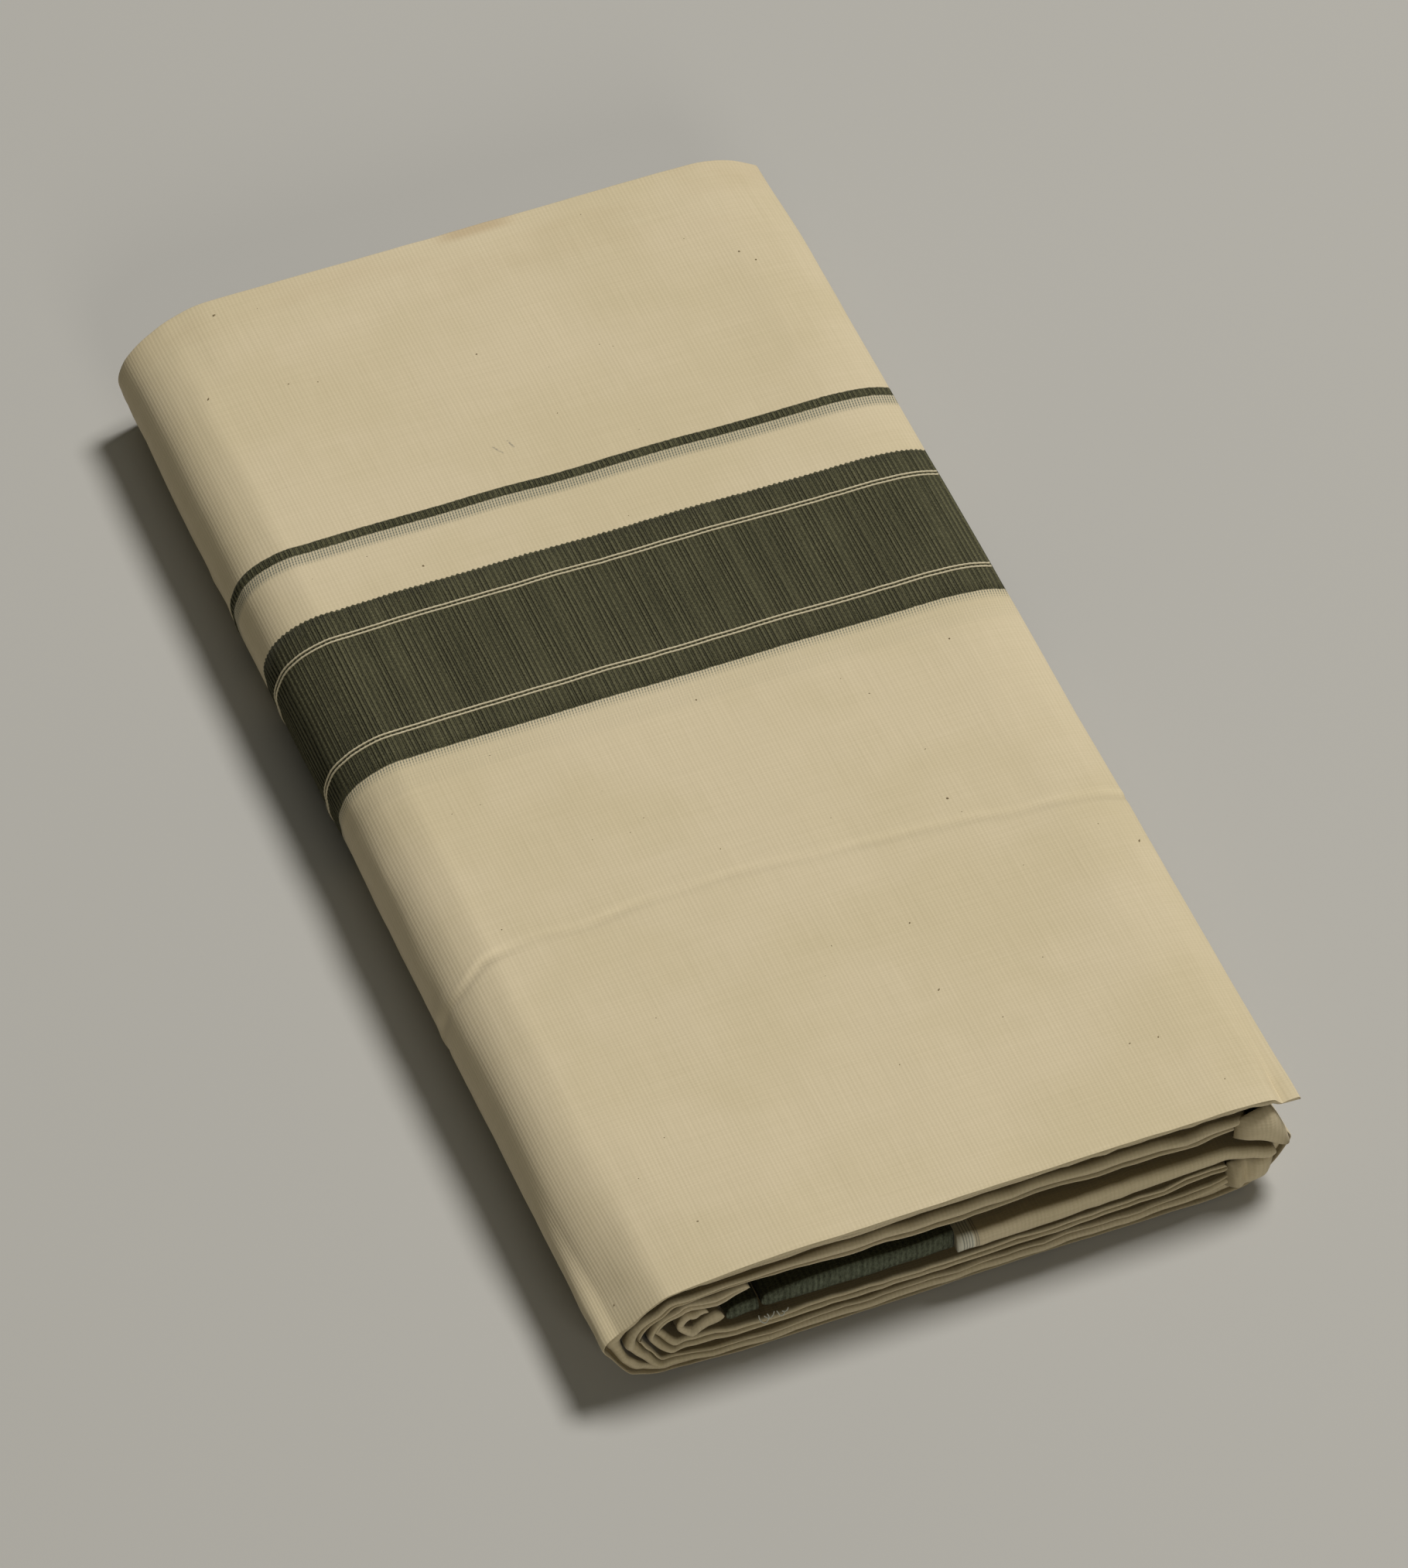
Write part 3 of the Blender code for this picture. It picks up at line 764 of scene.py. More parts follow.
    def place(self, mid, near, narrow):
        """Puts every point in the packet: the middle's form, giving way to the near end's own."""
        spots = []
        for line, change in ((mid, MIDDLE_THICKNESS_CHANGE), (near, NEAR_THICKNESS_CHANGE)):
            nx, nz = self.directions(line)
            uneven = 1.0 + change * wander(self.u, self.seed + 2, *THICKNESS_WAVES)
            half = 0.5 * line[2] * narrow * uneven
            off = half[:, None] * self.side
            spots.append((line[0][:, None] + nx[:, None] * off, line[1][:, None] + nz[:, None] * off))
        (mid_x, mid_z), (near_x, near_z) = spots
        mid_x, y, mid_z = settle(mid_x, self.y, mid_z)
        share = smoothstep(NEAR_Y + NEAR_FORM[0], NEAR_Y + NEAR_FORM[1], self.y)
        self.x = (mid_x + FOOT_SHIFT) * (1.0 - share) + near_x * share
        self.z = np.maximum(mid_z * (1.0 - share) + near_z * share, 0.0)
        self.y = y
        self.nx, self.nz = (n[:, None] for n in self.directions(mid))
        self.outer = np.clip(self.side, 0.0, 1.0)

    def push(self, height):
        """Moves the outer side out of the cloth by this height at each point."""
        height = height * self.outer
        self.x = self.x + self.nx * height
        self.z = np.maximum(self.z + self.nz * height, 0.0)

    def cap(self, row):
        """Closes a section: strips across its flat, and one face at each of its two fold edges."""
        n0 = self.near_count
        n1 = n0 + self.fold_steps + 1
        f0 = n1 + self.flat_count
        f1 = f0 + self.fold_steps + 1
        outer = row[n1 - 1 : f0 + 1]
        inner = np.concatenate([row[n0 : n0 + 1], row[:n0][::-1], row[f1:][::-1], row[f1 - 1 : f1]])
        strips = [
            np.array([outer[k], outer[k + 1], inner[k + 1], inner[k]]) for k in range(len(outer) - 1)
        ]
        return [row[n0:n1], row[f0:f1]] + strips

    def make(self):
        """The bundle as an object, with each corner's place on the cloth as its UV map."""
        stations, ring = self.x.shape
        index = np.arange(stations * ring).reshape(stations, ring)
        after = np.roll(index, -1, axis=1)
        quads = np.stack([index[:-1], after[:-1], after[1:], index[1:]], axis=-1).reshape(-1, 4)
        v_after = np.roll(self.v, -1, axis=1)
        v_after[:, -1] = self.v[:, -1] + MOST_ROW_STEP
        u = np.broadcast_to(self.u[:, None], self.v.shape)
        corners = ((u[:-1], self.v[:-1]), (u[:-1], v_after[:-1]), (u[1:], v_after[1:]), (u[1:], self.v[1:]))
        uv = np.stack([np.stack(corner, -1) for corner in corners], axis=2).reshape(-1, 2)
        faces, cap_uv = quads.tolist(), []
        for row, turned in ((0, True), (stations - 1, False)):
            for polygon in self.cap(index[row]):
                polygon = polygon[::-1].tolist() if turned else polygon.tolist()
                faces.append(polygon)
                cap_uv += [(self.u[row], self.v[row][k - index[row][0]]) for k in polygon]
        points = np.stack([self.x, self.y, self.z], axis=-1).reshape(-1, 3)
        obj = make_object(self.piece, points, faces, np.concatenate([uv, np.array(cap_uv)]))
        # Each point's depth, for the painted shade between plies.
        keep_value(obj, SHADE_DEPTH_NAME, self.depth)
        # The outer cloth also keeps its old fold line's height, for the painted shade and highlight along it.
        if self.piece == "outer_cloth":
            keep_value(obj, OLD_FOLD_NAME, self.old_fold)
        return obj


def make_object(name, points, faces, uv=None):
    """A smooth mesh object in metres from points in millimetres, with its corners' places on the cloth."""
    mesh = bpy.data.meshes.new(name)
    mesh.from_pydata((np.asarray(points) * MM).tolist(), [], faces)
    if uv is not None:
        layer = mesh.uv_layers.new(name="UVMap")
        layer.data.foreach_set("uv", (uv * MM).astype(np.float32).ravel())
    mesh.update()
    mesh.shade_smooth()
    obj = bpy.data.objects.new(name, mesh)
    bpy.context.scene.collection.objects.link(obj)
    return obj


def keep_value(obj, name, values):
    """Stores a value at each point of the mesh, for its material."""
    layer = obj.data.attributes.new(name, "FLOAT", "POINT")
    layer.data.foreach_set("value", values.astype(np.float32).ravel())


def finish_piece(obj, material, nodes=()):
    """Gives a piece its material and its body, and hides the solids that it stands for, if any are named."""
    obj.data.materials.clear()
    obj.data.materials.append(material)
    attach(obj, "root")
    if nodes:
        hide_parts(*nodes)
    return obj


def crease_height(side_weights, crease, across, along, seed):
    """One listed crease: a soft trough or ridge with a lip, along a line over one side of the packet."""
    side, runs, points, width, lip = crease
    points = np.array(points, float)
    here, there = (across, along) if runs == "across" else (along, across)
    first, second = (0, 1) if runs == "across" else (1, 0)
    line = np.interp(here, points[:, first], points[:, second])
    line = line + CREASE_WANDER * width * wander(here, seed, 50.0, 9.0)
    height = np.interp(here, points[:, first], points[:, 2])
    fade = smoothstep(points[0, first] - CREASE_FADE, points[0, first], here)
    fade = fade * smoothstep(points[-1, first] + CREASE_FADE, points[-1, first], here)
    t = (there - line) / width
    uneven = 1.0 + CREASE_UNEVEN * wander(here, seed + 1, 40.0, 10.0)
    shape = np.exp(-t * t) - lip * np.exp(-(((t - LIP_PLACE) / LIP_WIDTH) ** 2))
    return side_weights[side] * height * uneven * fade * shape


def relief(sweep):
    """The uneven lie of the outer cloth: slow swells that no line marks, and the listed creases.

    The sweep keeps the old fold line's own height, for the painted shade and highlight along it in the
    cloth's tone.
    """
    nx, nz = sweep.nx + 0.0 * sweep.x, sweep.nz + 0.0 * sweep.x
    weights = {
        "top": smoothstep(0.2, 0.8, nz), "under": smoothstep(-0.2, -0.8, nz),
        "left": smoothstep(-0.2, -0.8, nx), "right": smoothstep(0.2, 0.8, nx),
    }
    u = sweep.u[:, None] + 0.0 * sweep.x
    height = sum(swell * rolling(u, sweep.y, *waves) for swell, *waves in OUTER_SWELLS)
    for number, crease in enumerate(CREASES):
        across = sweep.x if crease[0] in ("top", "under") else sweep.z
        one = crease_height(weights, crease, across, sweep.y, 100 + 7 * number)
        # The old fold line's own height, kept for its painted shade and highlight.
        if number == 0:
            sweep.old_fold = one
        height = height + one
    return height


class Maker:
    """Adds nodes to a tree and wires them, one call a node."""

    def __init__(self, tree):
        self.tree = tree
        self.count = 0

    def node(self, kind, inputs=None, **settings):
        made = self.tree.nodes.new(kind)
        for key, value in settings.items():
            setattr(made, key, value)
        for key, value in (inputs or {}).items():
            self.feed(made.inputs[key], value)
        made.location = (190 * (self.count % 14), -260 * (self.count // 14))
        self.count += 1
        return made

    def feed(self, socket, value):
        if isinstance(value, bpy.types.NodeSocket):
            self.tree.links.new(value, socket)
        else:
            socket.default_value = value

    def math(self, operation, a, b=0.0, c=0.0):
        made = self.node("ShaderNodeMath", {0: a, 1: b, 2: c}, operation=operation)
        return made.outputs[0]

    def add(self, a, b):
        return self.math("ADD", a, b)

    def times(self, a, b):
        return self.math("MULTIPLY", a, b)

    def wave(self, value, pitch, phase=0.0):
        """A smooth wave from 0 to 1, one to each pitch."""
        angle = self.math("MULTIPLY_ADD", self.math("DIVIDE", value, pitch), 2.0 * math.pi, phase)
        return self.math("MULTIPLY_ADD", self.math("COSINE", angle), 0.5, 0.5)

    def step(self, value, low, high, out_low=0.0, out_high=1.0):
        """A soft step between two values."""
        made = self.node(
            "ShaderNodeMapRange",
            {"Value": value, "From Min": low, "From Max": high, "To Min": out_low, "To Max": out_high},
            interpolation_type="SMOOTHSTEP",
        )
        return made.outputs["Result"]

    def between(self, value, low, high, soft):
        """1 between two values, with soft edges."""
        over_low = self.step(value, low - soft, low + soft)
        under_high = self.step(value, high + soft, high - soft)
        return self.times(over_low, under_high)

    def vector(self, x=0.0, y=0.0, z=0.0):
        return self.node("ShaderNodeCombineXYZ", {"X": x, "Y": y, "Z": z}).outputs[0]

    def stretch(self, vector, x, y, z=1.0):
        made = self.node("ShaderNodeVectorMath", {0: vector, 1: (x, y, z)}, operation="MULTIPLY")
        return made.outputs[0]

    def scaled(self, vector, by):
        made = self.node("ShaderNodeVectorMath", {0: vector, "Scale": by}, operation="SCALE")
        return made.outputs[0]

    def noise(self, vector, scale=1.0, detail=2.0, rough=0.5):
        made = self.node(
            "ShaderNodeTexNoise", {"Vector": vector, "Scale": scale, "Detail": detail, "Roughness": rough}
        )
        return made.outputs[0]

    def cells(self, value):
        """A random number for each whole step of the value."""
        made = self.node("ShaderNodeTexWhiteNoise", {"W": self.math("FLOOR", value)}, noise_dimensions="1D")
        return made.outputs["Value"]

    def mix(self, share, a, b, blend="MIX"):
        made = self.node("ShaderNodeMix", data_type="RGBA", blend_type=blend, clamp_factor=True)
        for key, value in ((0, share), (6, a), (7, b)):
            self.feed(made.inputs[key], value)
        return made.outputs[2]

    def group(self, tree, inputs):
        made = self.node("ShaderNodeGroup", node_tree=tree)
        for key, value in inputs.items():
            self.feed(made.inputs[key], value)
        return made.outputs


def new_group(name, inputs, outputs):
    """A shader node group with named sockets, and its maker, input and output nodes."""
    tree = bpy.data.node_groups.new(name, "ShaderNodeTree")
    for label, kind, value in inputs:
        socket = tree.interface.new_socket(label, in_out="INPUT", socket_type=kind)
        if value is not None:
            socket.default_value = value
    for label, kind in outputs:
        tree.interface.new_socket(label, in_out="OUTPUT", socket_type=kind)
    make = Maker(tree)
    return tree, make, make.node("NodeGroupInput").outputs, make.node("NodeGroupOutput").inputs


def weave_group():
    """Plain weave seen close: yarns both ways, their thick and thin places, and the tone that they give."""
    name = "Cotton weave"
    if name in bpy.data.node_groups:
        return bpy.data.node_groups[name]
    tree, make, given, result = new_group(
        name,
        (
            ("Cloth", "NodeSocketVector", None),
            ("Warp Pitch", "NodeSocketFloat", 0.98),
            ("Weft Pitch", "NodeSocketFloat", 0.66),
            ("Slubs", "NodeSocketFloat", 1.0),
        ),
        (("Height", "NodeSocketFloat"), ("Tone", "NodeSocketFloat"), ("Patch", "NodeSocketFloat")),
    )
    place = make.stretch(given["Cloth"], PER_METRE, PER_METRE, 0.0)
    split = make.node("ShaderNodeSeparateXYZ", {0: place}).outputs
    drift = make.noise(make.stretch(place, 0.30, 0.035), detail=2.0)
    cross_drift = make.noise(make.stretch(place, 0.03, 0.24), detail=2.0)
    along = make.math("MULTIPLY_ADD", drift, 0.7, split["X"])
    across = make.math("MULTIPLY_ADD", cross_drift, 0.7, split["Y"])
    warp = make.wave(along, given["Warp Pitch"])
    weft = make.wave(across, given["Weft Pitch"])
    warp_slub = make.noise(make.stretch(place, 1.9, 0.045), detail=3.0, rough=0.6)
    weft_slub = make.noise(make.stretch(place, 0.05, 1.7), detail=3.0, rough=0.6)
    slub = make.math("SUBTRACT", make.add(warp_slub, make.times(weft_slub, 0.8)), 0.9)
    slub = make.times(slub, given["Slubs"])
    fuzz = make.noise(place, scale=2.6, detail=3.0, rough=0.65)
    yarns = make.add(make.times(warp, 0.3), make.times(weft, 0.18))
    height = make.add(make.add(yarns, make.times(slub, 0.25)), make.times(fuzz, 0.2))
    tone = make.math("MULTIPLY_ADD", slub, 0.6, 0.5)
    tone = make.add(tone, make.times(make.math("SUBTRACT", yarns, 0.24), 0.65))
    tone = make.add(tone, make.times(make.math("SUBTRACT", fuzz, 0.5), 0.5))
    patch = make.noise(make.stretch(place, 0.016, 0.02), detail=3.0, rough=0.55)
    for label, value in (("Height", height), ("Tone", tone), ("Patch", patch)):
        make.feed(result[label], value)
    return tree


def new_material(name):
    """A material with its Principled shader, and the maker of its nodes."""
    material = bpy.data.materials.new(name)
    material.use_nodes = True
    make = Maker(material.node_tree)
    return material, make, material.node_tree.nodes["Principled BSDF"]


def kept_value(make, name):
    """The value that each point of the mesh keeps under this name."""
    made = make.node("ShaderNodeAttribute", attribute_type="GEOMETRY", attribute_name=name)
    return made.outputs["Fac"]


def painted_shade_between_plies(make, colour):
    """The colour with painted shade: darker where little light comes between two plies."""
    return make.mix(kept_value(make, SHADE_DEPTH_NAME), colour, rgba(PAINTED_PLY_SHADE), "MULTIPLY")


def set_cotton(shader, sheen, roughness=0.9):
    """What all the cottons share: dull, with a faint nap."""
    shader.inputs["Roughness"].default_value = roughness
    shader.inputs["Specular IOR Level"].default_value = 0.22
    shader.inputs["Sheen Weight"].default_value = sheen
    shader.inputs["Sheen Roughness"].default_value = 0.45


def bump(make, shader, height, depth):
    """Feeds a height to the shader's normal, where 1 stands for this depth in metres."""
    made = make.node("ShaderNodeBump", {"Height": height, "Distance": depth, "Strength": 1.0})
    make.feed(shader.inputs["Normal"], made.outputs["Normal"])


def rgba(colour):
    return (*colour[:3], 1.0)


def ecru_colour(make, weave, colours):
    """The unbleached cotton: paler and darker patches under the weave's own tone."""
    pale = make.step(weave["Patch"], 0.38, 0.62)
    patches = make.mix(pale, rgba(colours.ecru), rgba(colours.ecru_pale))
    limits = {"Value": weave["Tone"], "To Min": 0.875, "To Max": 1.095}
    tone = make.node("ShaderNodeMapRange", limits).outputs[0]
    blue = make.math("MULTIPLY_ADD", tone, 1.25, -0.25)
    return make.mix(1.0, patches, make.vector(tone, tone, blue), "MULTIPLY")


def cotton_material(name, colours, end_lines=()):
    """The packet's inner turns: the same ecru cotton, with thin lines where it meets the cut border."""
    material, make, shader = new_material(name)
    place = make.node("ShaderNodeUVMap", uv_map="UVMap").outputs[0]
    weave = make.group(weave_group(), {"Cloth": place, "Slubs": 1.0})
    colour = ecru_colour(make, weave, colours)
    if end_lines:
        u = make.times(make.node("ShaderNodeSeparateXYZ", {0: place}).outputs["X"], PER_METRE)
        white = make.step(u, end_lines[3] + 0.9, end_lines[3] + 0.3)
        colour = make.mix(make.times(white, 0.8), colour, rgba(END_WHITE))
        lines = line_mask(make, u, end_lines, END_LINE_HALF)
        colour = make.mix(make.times(lines, 0.6), colour, rgba(END_GREY))
    # Painted shade in the gaps between plies, over the cloth's own colour.
    make.feed(shader.inputs["Base Color"], painted_shade_between_plies(make, colour))
    set_cotton(shader, COTTON_SHEEN)
    bump(make, shader, weave["Height"], INNER_BUMP)
    return material


def millimetres(make, place):
    """A place on the cloth in millimetres: how far round the packet, and how far along it."""
    split = make.node("ShaderNodeSeparateXYZ", {0: make.stretch(place, PER_METRE, PER_METRE, 0.0)}).outputs
    return split["X"], split["Y"]


def band_mask(make, place, u, v, border):
    """The dark grounds of the two woven borders, with frayed edges that keep step with the ribs."""
    pitch = border.rib_pitch / MM
    near, far = border.wide_near / MM, border.wide_far / MM
    frayed = make.noise(make.stretch(place, 900.0, 300.0), detail=2.0)
    frayed = make.math("MULTIPLY_ADD", frayed, 0.5, -0.25)
    ridge = make.wave(u, pitch, -math.pi / pitch)
    toothed = make.add(make.times(ridge, 0.4), frayed)
    wide = make.times(
        make.step(make.add(v, frayed), near - 0.12, near + 0.12),
        make.step(make.math("SUBTRACT", v, toothed), far + 0.1, far - 0.15),
    )
    thin = make.between(make.add(v, frayed), border.thin_near / MM, border.thin_far / MM, 0.12)
    return make.math("MAXIMUM", wide, thin)


def hatch_mask(make, u, v, border):
    """The borders' near edges: dark slanting yarns over pale cloth, and a faint mist of them further off."""
    pitch = border.rib_pitch / MM
    wide_near, thin_near = border.wide_near / MM, border.thin_near / MM
    reach = border.hatch / MM
    slant = make.wave(make.math("MULTIPLY_ADD", v, 0.12, u), 0.55 * pitch)
    picks = make.wave(v, 0.8)
    dots = make.times(make.step(slant, 0.2, 0.8), make.step(picks, -0.4, 0.6))
    mesh_low = thin_near - reach
    mesh = make.times(
        make.step(v, mesh_low - 0.9, mesh_low + 1.2),
        make.step(v, thin_near + 0.15, thin_near - 0.15),
    )
    mesh = make.times(make.math("MULTIPLY_ADD", dots, 0.78, 0.12), mesh)
    fringe_low = wide_near - reach - 0.8
    fringe = make.times(
        make.step(v, fringe_low, wide_near),
        make.step(v, wide_near + 0.1, wide_near),
    )
    fringe = make.times(make.times(dots, fringe), 0.85)
    mist = make.between(v, wide_near - 9.0, wide_near - reach, 1.2)
    mist = make.times(make.times(mist, dots), 0.1)
    return make.math("MAXIMUM", make.math("MAXIMUM", fringe, mesh), mist)


def stain_mask(make, place, u, v):
    """The faint stain by the far edge, and its darker part on the rim."""
    patches = make.noise(make.stretch(place, 26.0, 60.0), detail=3.0)
    faint = make.times(make.times(make.step(v, 128.0, 158.0), make.step(patches, 0.42, 0.7)), 0.12)
    rim = make.times(make.between(u, 66.0, 83.0, 4.0), make.step(v, 155.8, 158.6))
    return make.math("MULTIPLY_ADD", rim, 0.4, faint)


def printed_material(name, colours, border):
    """The outer cloth: ecru cotton with the dark grounds of its woven borders, and their hatched edges."""
    material, make, shader = new_material(name)
    place = make.node("ShaderNodeUVMap", uv_map="UVMap").outputs[0]
    weave = make.group(weave_group(), {"Cloth": place, "Slubs": 1.0})
    u, v = millimetres(make, place)
    hatch = hatch_mask(make, u, v, border)
    colour = ecru_colour(make, weave, colours)
    colour = make.mix(stain_mask(make, place, u, v), colour, rgba(STAIN))
    # Painted shade in the old fold line's trough and painted highlight on its lip, from its height.
    wear_and_fold_shade = make.math("MULTIPLY_ADD", kept_value(make, OLD_FOLD_NAME), OLD_FOLD_PAINTED_SHADE, 1.0)
    colour = make.mix(1.0, colour, make.vector(wear_and_fold_shade, wear_and_fold_shade, wear_and_fold_shade), "MULTIPLY")
    colour = make.mix(pencil_mask(make, u, v), colour, rgba(GRAPHITE))
    colour = make.mix(hatch, colour, rgba(HATCH_GREY))
    # The band's ground: the border yarn, darker towards the painted groove shade by the weave's tone.
    ground = make.mix(make.times(weave["Tone"], 0.8), rgba(colours.groove_shade), rgba(colours.border))
    colour = make.mix(band_mask(make, place, u, v, border), colour, ground)
    # Painted shade in the gaps between plies, over the cloth's own colour.
    make.feed(shader.inputs["Base Color"], painted_shade_between_plies(make, colour))
    set_cotton(shader, COTTON_SHEEN)
    ribs = make.times(make.wave(u, border.rib_pitch / MM), make.times(hatch, 0.5))
    bump(make, shader, make.add(weave["Height"], ribs), OUTER_BUMP)
    return material


def pencil_mask(make, u, v):
    """Two short faint strokes of graphite that read as nothing."""
    strokes = None
    for u0, v0, u1, v1 in PENCIL_STROKES:
        run = math.hypot(u1 - u0, v1 - v0)
        along_x, along_y = (u1 - u0) / run, (v1 - v0) / run
        du, dv = make.math("SUBTRACT", u, u0), make.math("SUBTRACT", v, v0)
        along = make.add(make.times(du, along_x), make.times(dv, along_y))
        off = make.math("ABSOLUTE", make.add(make.times(du, -along_y), make.times(dv, along_x)))
        mask = make.times(make.between(along, 0.0, run, 0.3), make.step(off, 0.34, 0.12))
        strokes = mask if strokes is None else make.math("MAXIMUM", strokes, mask)
    broken = make.noise(make.vector(u, v), scale=1.6, detail=2.0)
    return make.times(make.times(strokes, make.step(broken, 0.3, 0.62)), 0.5)


def border_material(name, colours, border, upright):
    """The dark border yarn: painted highlight on the ridges and painted shade between them, no two quite
    alike.

    Upright is for the cut end, whose ridges show as shades and bumps only. The laid ribs have real ones.
    """
    material, make, shader = new_material(name)
    place = make.node("ShaderNodeUVMap", uv_map="UVMap").outputs[0]
    fine = {"Cloth": place, "Slubs": 1.2, "Warp Pitch": 0.6, "Weft Pitch": 0.5}
    weave = make.group(weave_group(), fine)
    u = millimetres(make, place)[0]
    pitch = border.rib_pitch / MM
    ridge = make.wave(u, pitch)
    each = make.cells(make.math("DIVIDE", u, pitch))
    # Random patches of wear in the border yarn.
    wear_and_fold_shade = make.noise(make.stretch(place, 60.0, 45.0), detail=3.0)
    speckle = make.noise(make.stretch(place, 1500.0, 2400.0), detail=2.0, rough=0.7)
    # Painted highlight on the ridges and painted shade on the ground between them, with a random tone for
    # each rib, speckle and wear.
    on_ridge, ground = (0.22, 0.42) if upright else (0.55, 0.0)
    ground = make.math("MULTIPLY_ADD", each, 0.16, ground)
    light = make.math("MULTIPLY_ADD", make.step(ridge, 0.05, 0.9), on_ridge, ground)
    light = make.add(light, make.times(make.math("SUBTRACT", speckle, 0.5), 1.5))
    light = make.add(light, make.times(make.math("SUBTRACT", wear_and_fold_shade, 0.5), 0.4))
    yarn = [part * (tint if upright else 1.0) for part, tint in zip(colours.border, END_TINT)]
    colour = make.mix(light, rgba(colours.groove_shade), rgba(yarn))
    # Painted shade in the gaps between plies, over the yarn's own colour.
    make.feed(shader.inputs["Base Color"], painted_shade_between_plies(make, colour))
    set_cotton(shader, BORDER_SHEEN, 0.95)
    shader.inputs["Specular IOR Level"].default_value = 0.08
    height = make.add(make.times(ridge, 0.3 if upright else 0.0), make.add(weave["Height"], speckle))
    bump(make, shader, height, BORDER_BUMP)
    return material


def line_mask(make, value, places, half):
    """Thin lines at these values."""
    lines = None
    for place in places:
        line = make.step(make.math("ABSOLUTE", make.math("SUBTRACT", value, place)), half, 0.4 * half)
        lines = line if lines is None else make.math("MAXIMUM", lines, line)
    return lines


def yarn_material(name, colour, darker):
    """A single yarn or a fleck: a twist along it, and fuzz."""
    material, make, shader = new_material(name)
    place = make.node("ShaderNodeTexCoord").outputs["Object"]
    fuzz = make.noise(place, scale=2400.0, detail=3.0, rough=0.7)
    make.feed(shader.inputs["Base Color"], make.mix(make.step(fuzz, 0.3, 0.7), rgba(darker), rgba(colour)))
    set_cotton(shader, 0.1)
    bump(make, shader, fuzz, YARN_BUMP)
    return material


def geometry_tree(name, inputs):
    """A Geometry Nodes tree with named inputs, and its maker and input node."""
    tree = bpy.data.node_groups.new(name, "GeometryNodeTree")
    tree.is_modifier = True
    for label, kind in inputs:
        tree.interface.new_socket(label, in_out="INPUT", socket_type=kind)
    tree.interface.new_socket("Geometry", in_out="OUTPUT", socket_type="NodeSocketGeometry")
    make = Maker(tree)
    return tree, make, make.node("NodeGroupInput").outputs


def end_tree(make, geometry, material):
    """Ends a tree: real geometry, smooth, with its material."""
    real = make.node("GeometryNodeRealizeInstances", {"Geometry": geometry}).outputs[0]
    smooth = make.node("GeometryNodeSetShadeSmooth", {"Geometry": real}).outputs[0]
    painted = make.node("GeometryNodeSetMaterial", {"Geometry": smooth, "Material": material}).outputs[0]
    make.feed(make.node("NodeGroupOutput").inputs[0], painted)


def on_cloth(make, cloth, place):
    """The cloth's position and normal at a place on it."""
    info = make.node("GeometryNodeObjectInfo", {"Object": cloth}, transform_space="RELATIVE")
    named = make.node("GeometryNodeInputNamedAttribute", {"Name": "UVMap"}, data_type="FLOAT_VECTOR")
    found = []
    for field in ("GeometryNodeInputPosition", "GeometryNodeInputNormal"):
        sample = make.node("GeometryNodeSampleUVSurface", data_type="FLOAT_VECTOR")
        make.feed(sample.inputs["Mesh"], info.outputs["Geometry"])
        make.feed(sample.inputs["Value"], make.node(field).outputs[0])
        make.feed(sample.inputs["Source UV Map"], named.outputs[0])
        make.feed(sample.inputs["Sample UV"], place)
        found.append(sample.outputs["Value"])
    return found


def own_place(make):
    """The X, Y and Z of each point's own place."""
    position = make.node("GeometryNodeInputPosition").outputs[0]
    return make.node("ShaderNodeSeparateXYZ", {0: position}).outputs


def lifted(make, position, normal, height):
    """A position moved along its normal, but not into the ground."""
    rise = make.scaled(normal, height)
    moved = make.node("ShaderNodeVectorMath", {0: position, 1: rise}, operation="ADD").outputs[0]
    return above_ground(make, moved)


def above_ground(make, position):
    """The position, raised to the ground where it would lie under it."""
    split = make.node("ShaderNodeSeparateXYZ", {0: position}).outputs
    return make.vector(split["X"], split["Y"], make.math("MAXIMUM", split["Z"], GROUND_GAP))


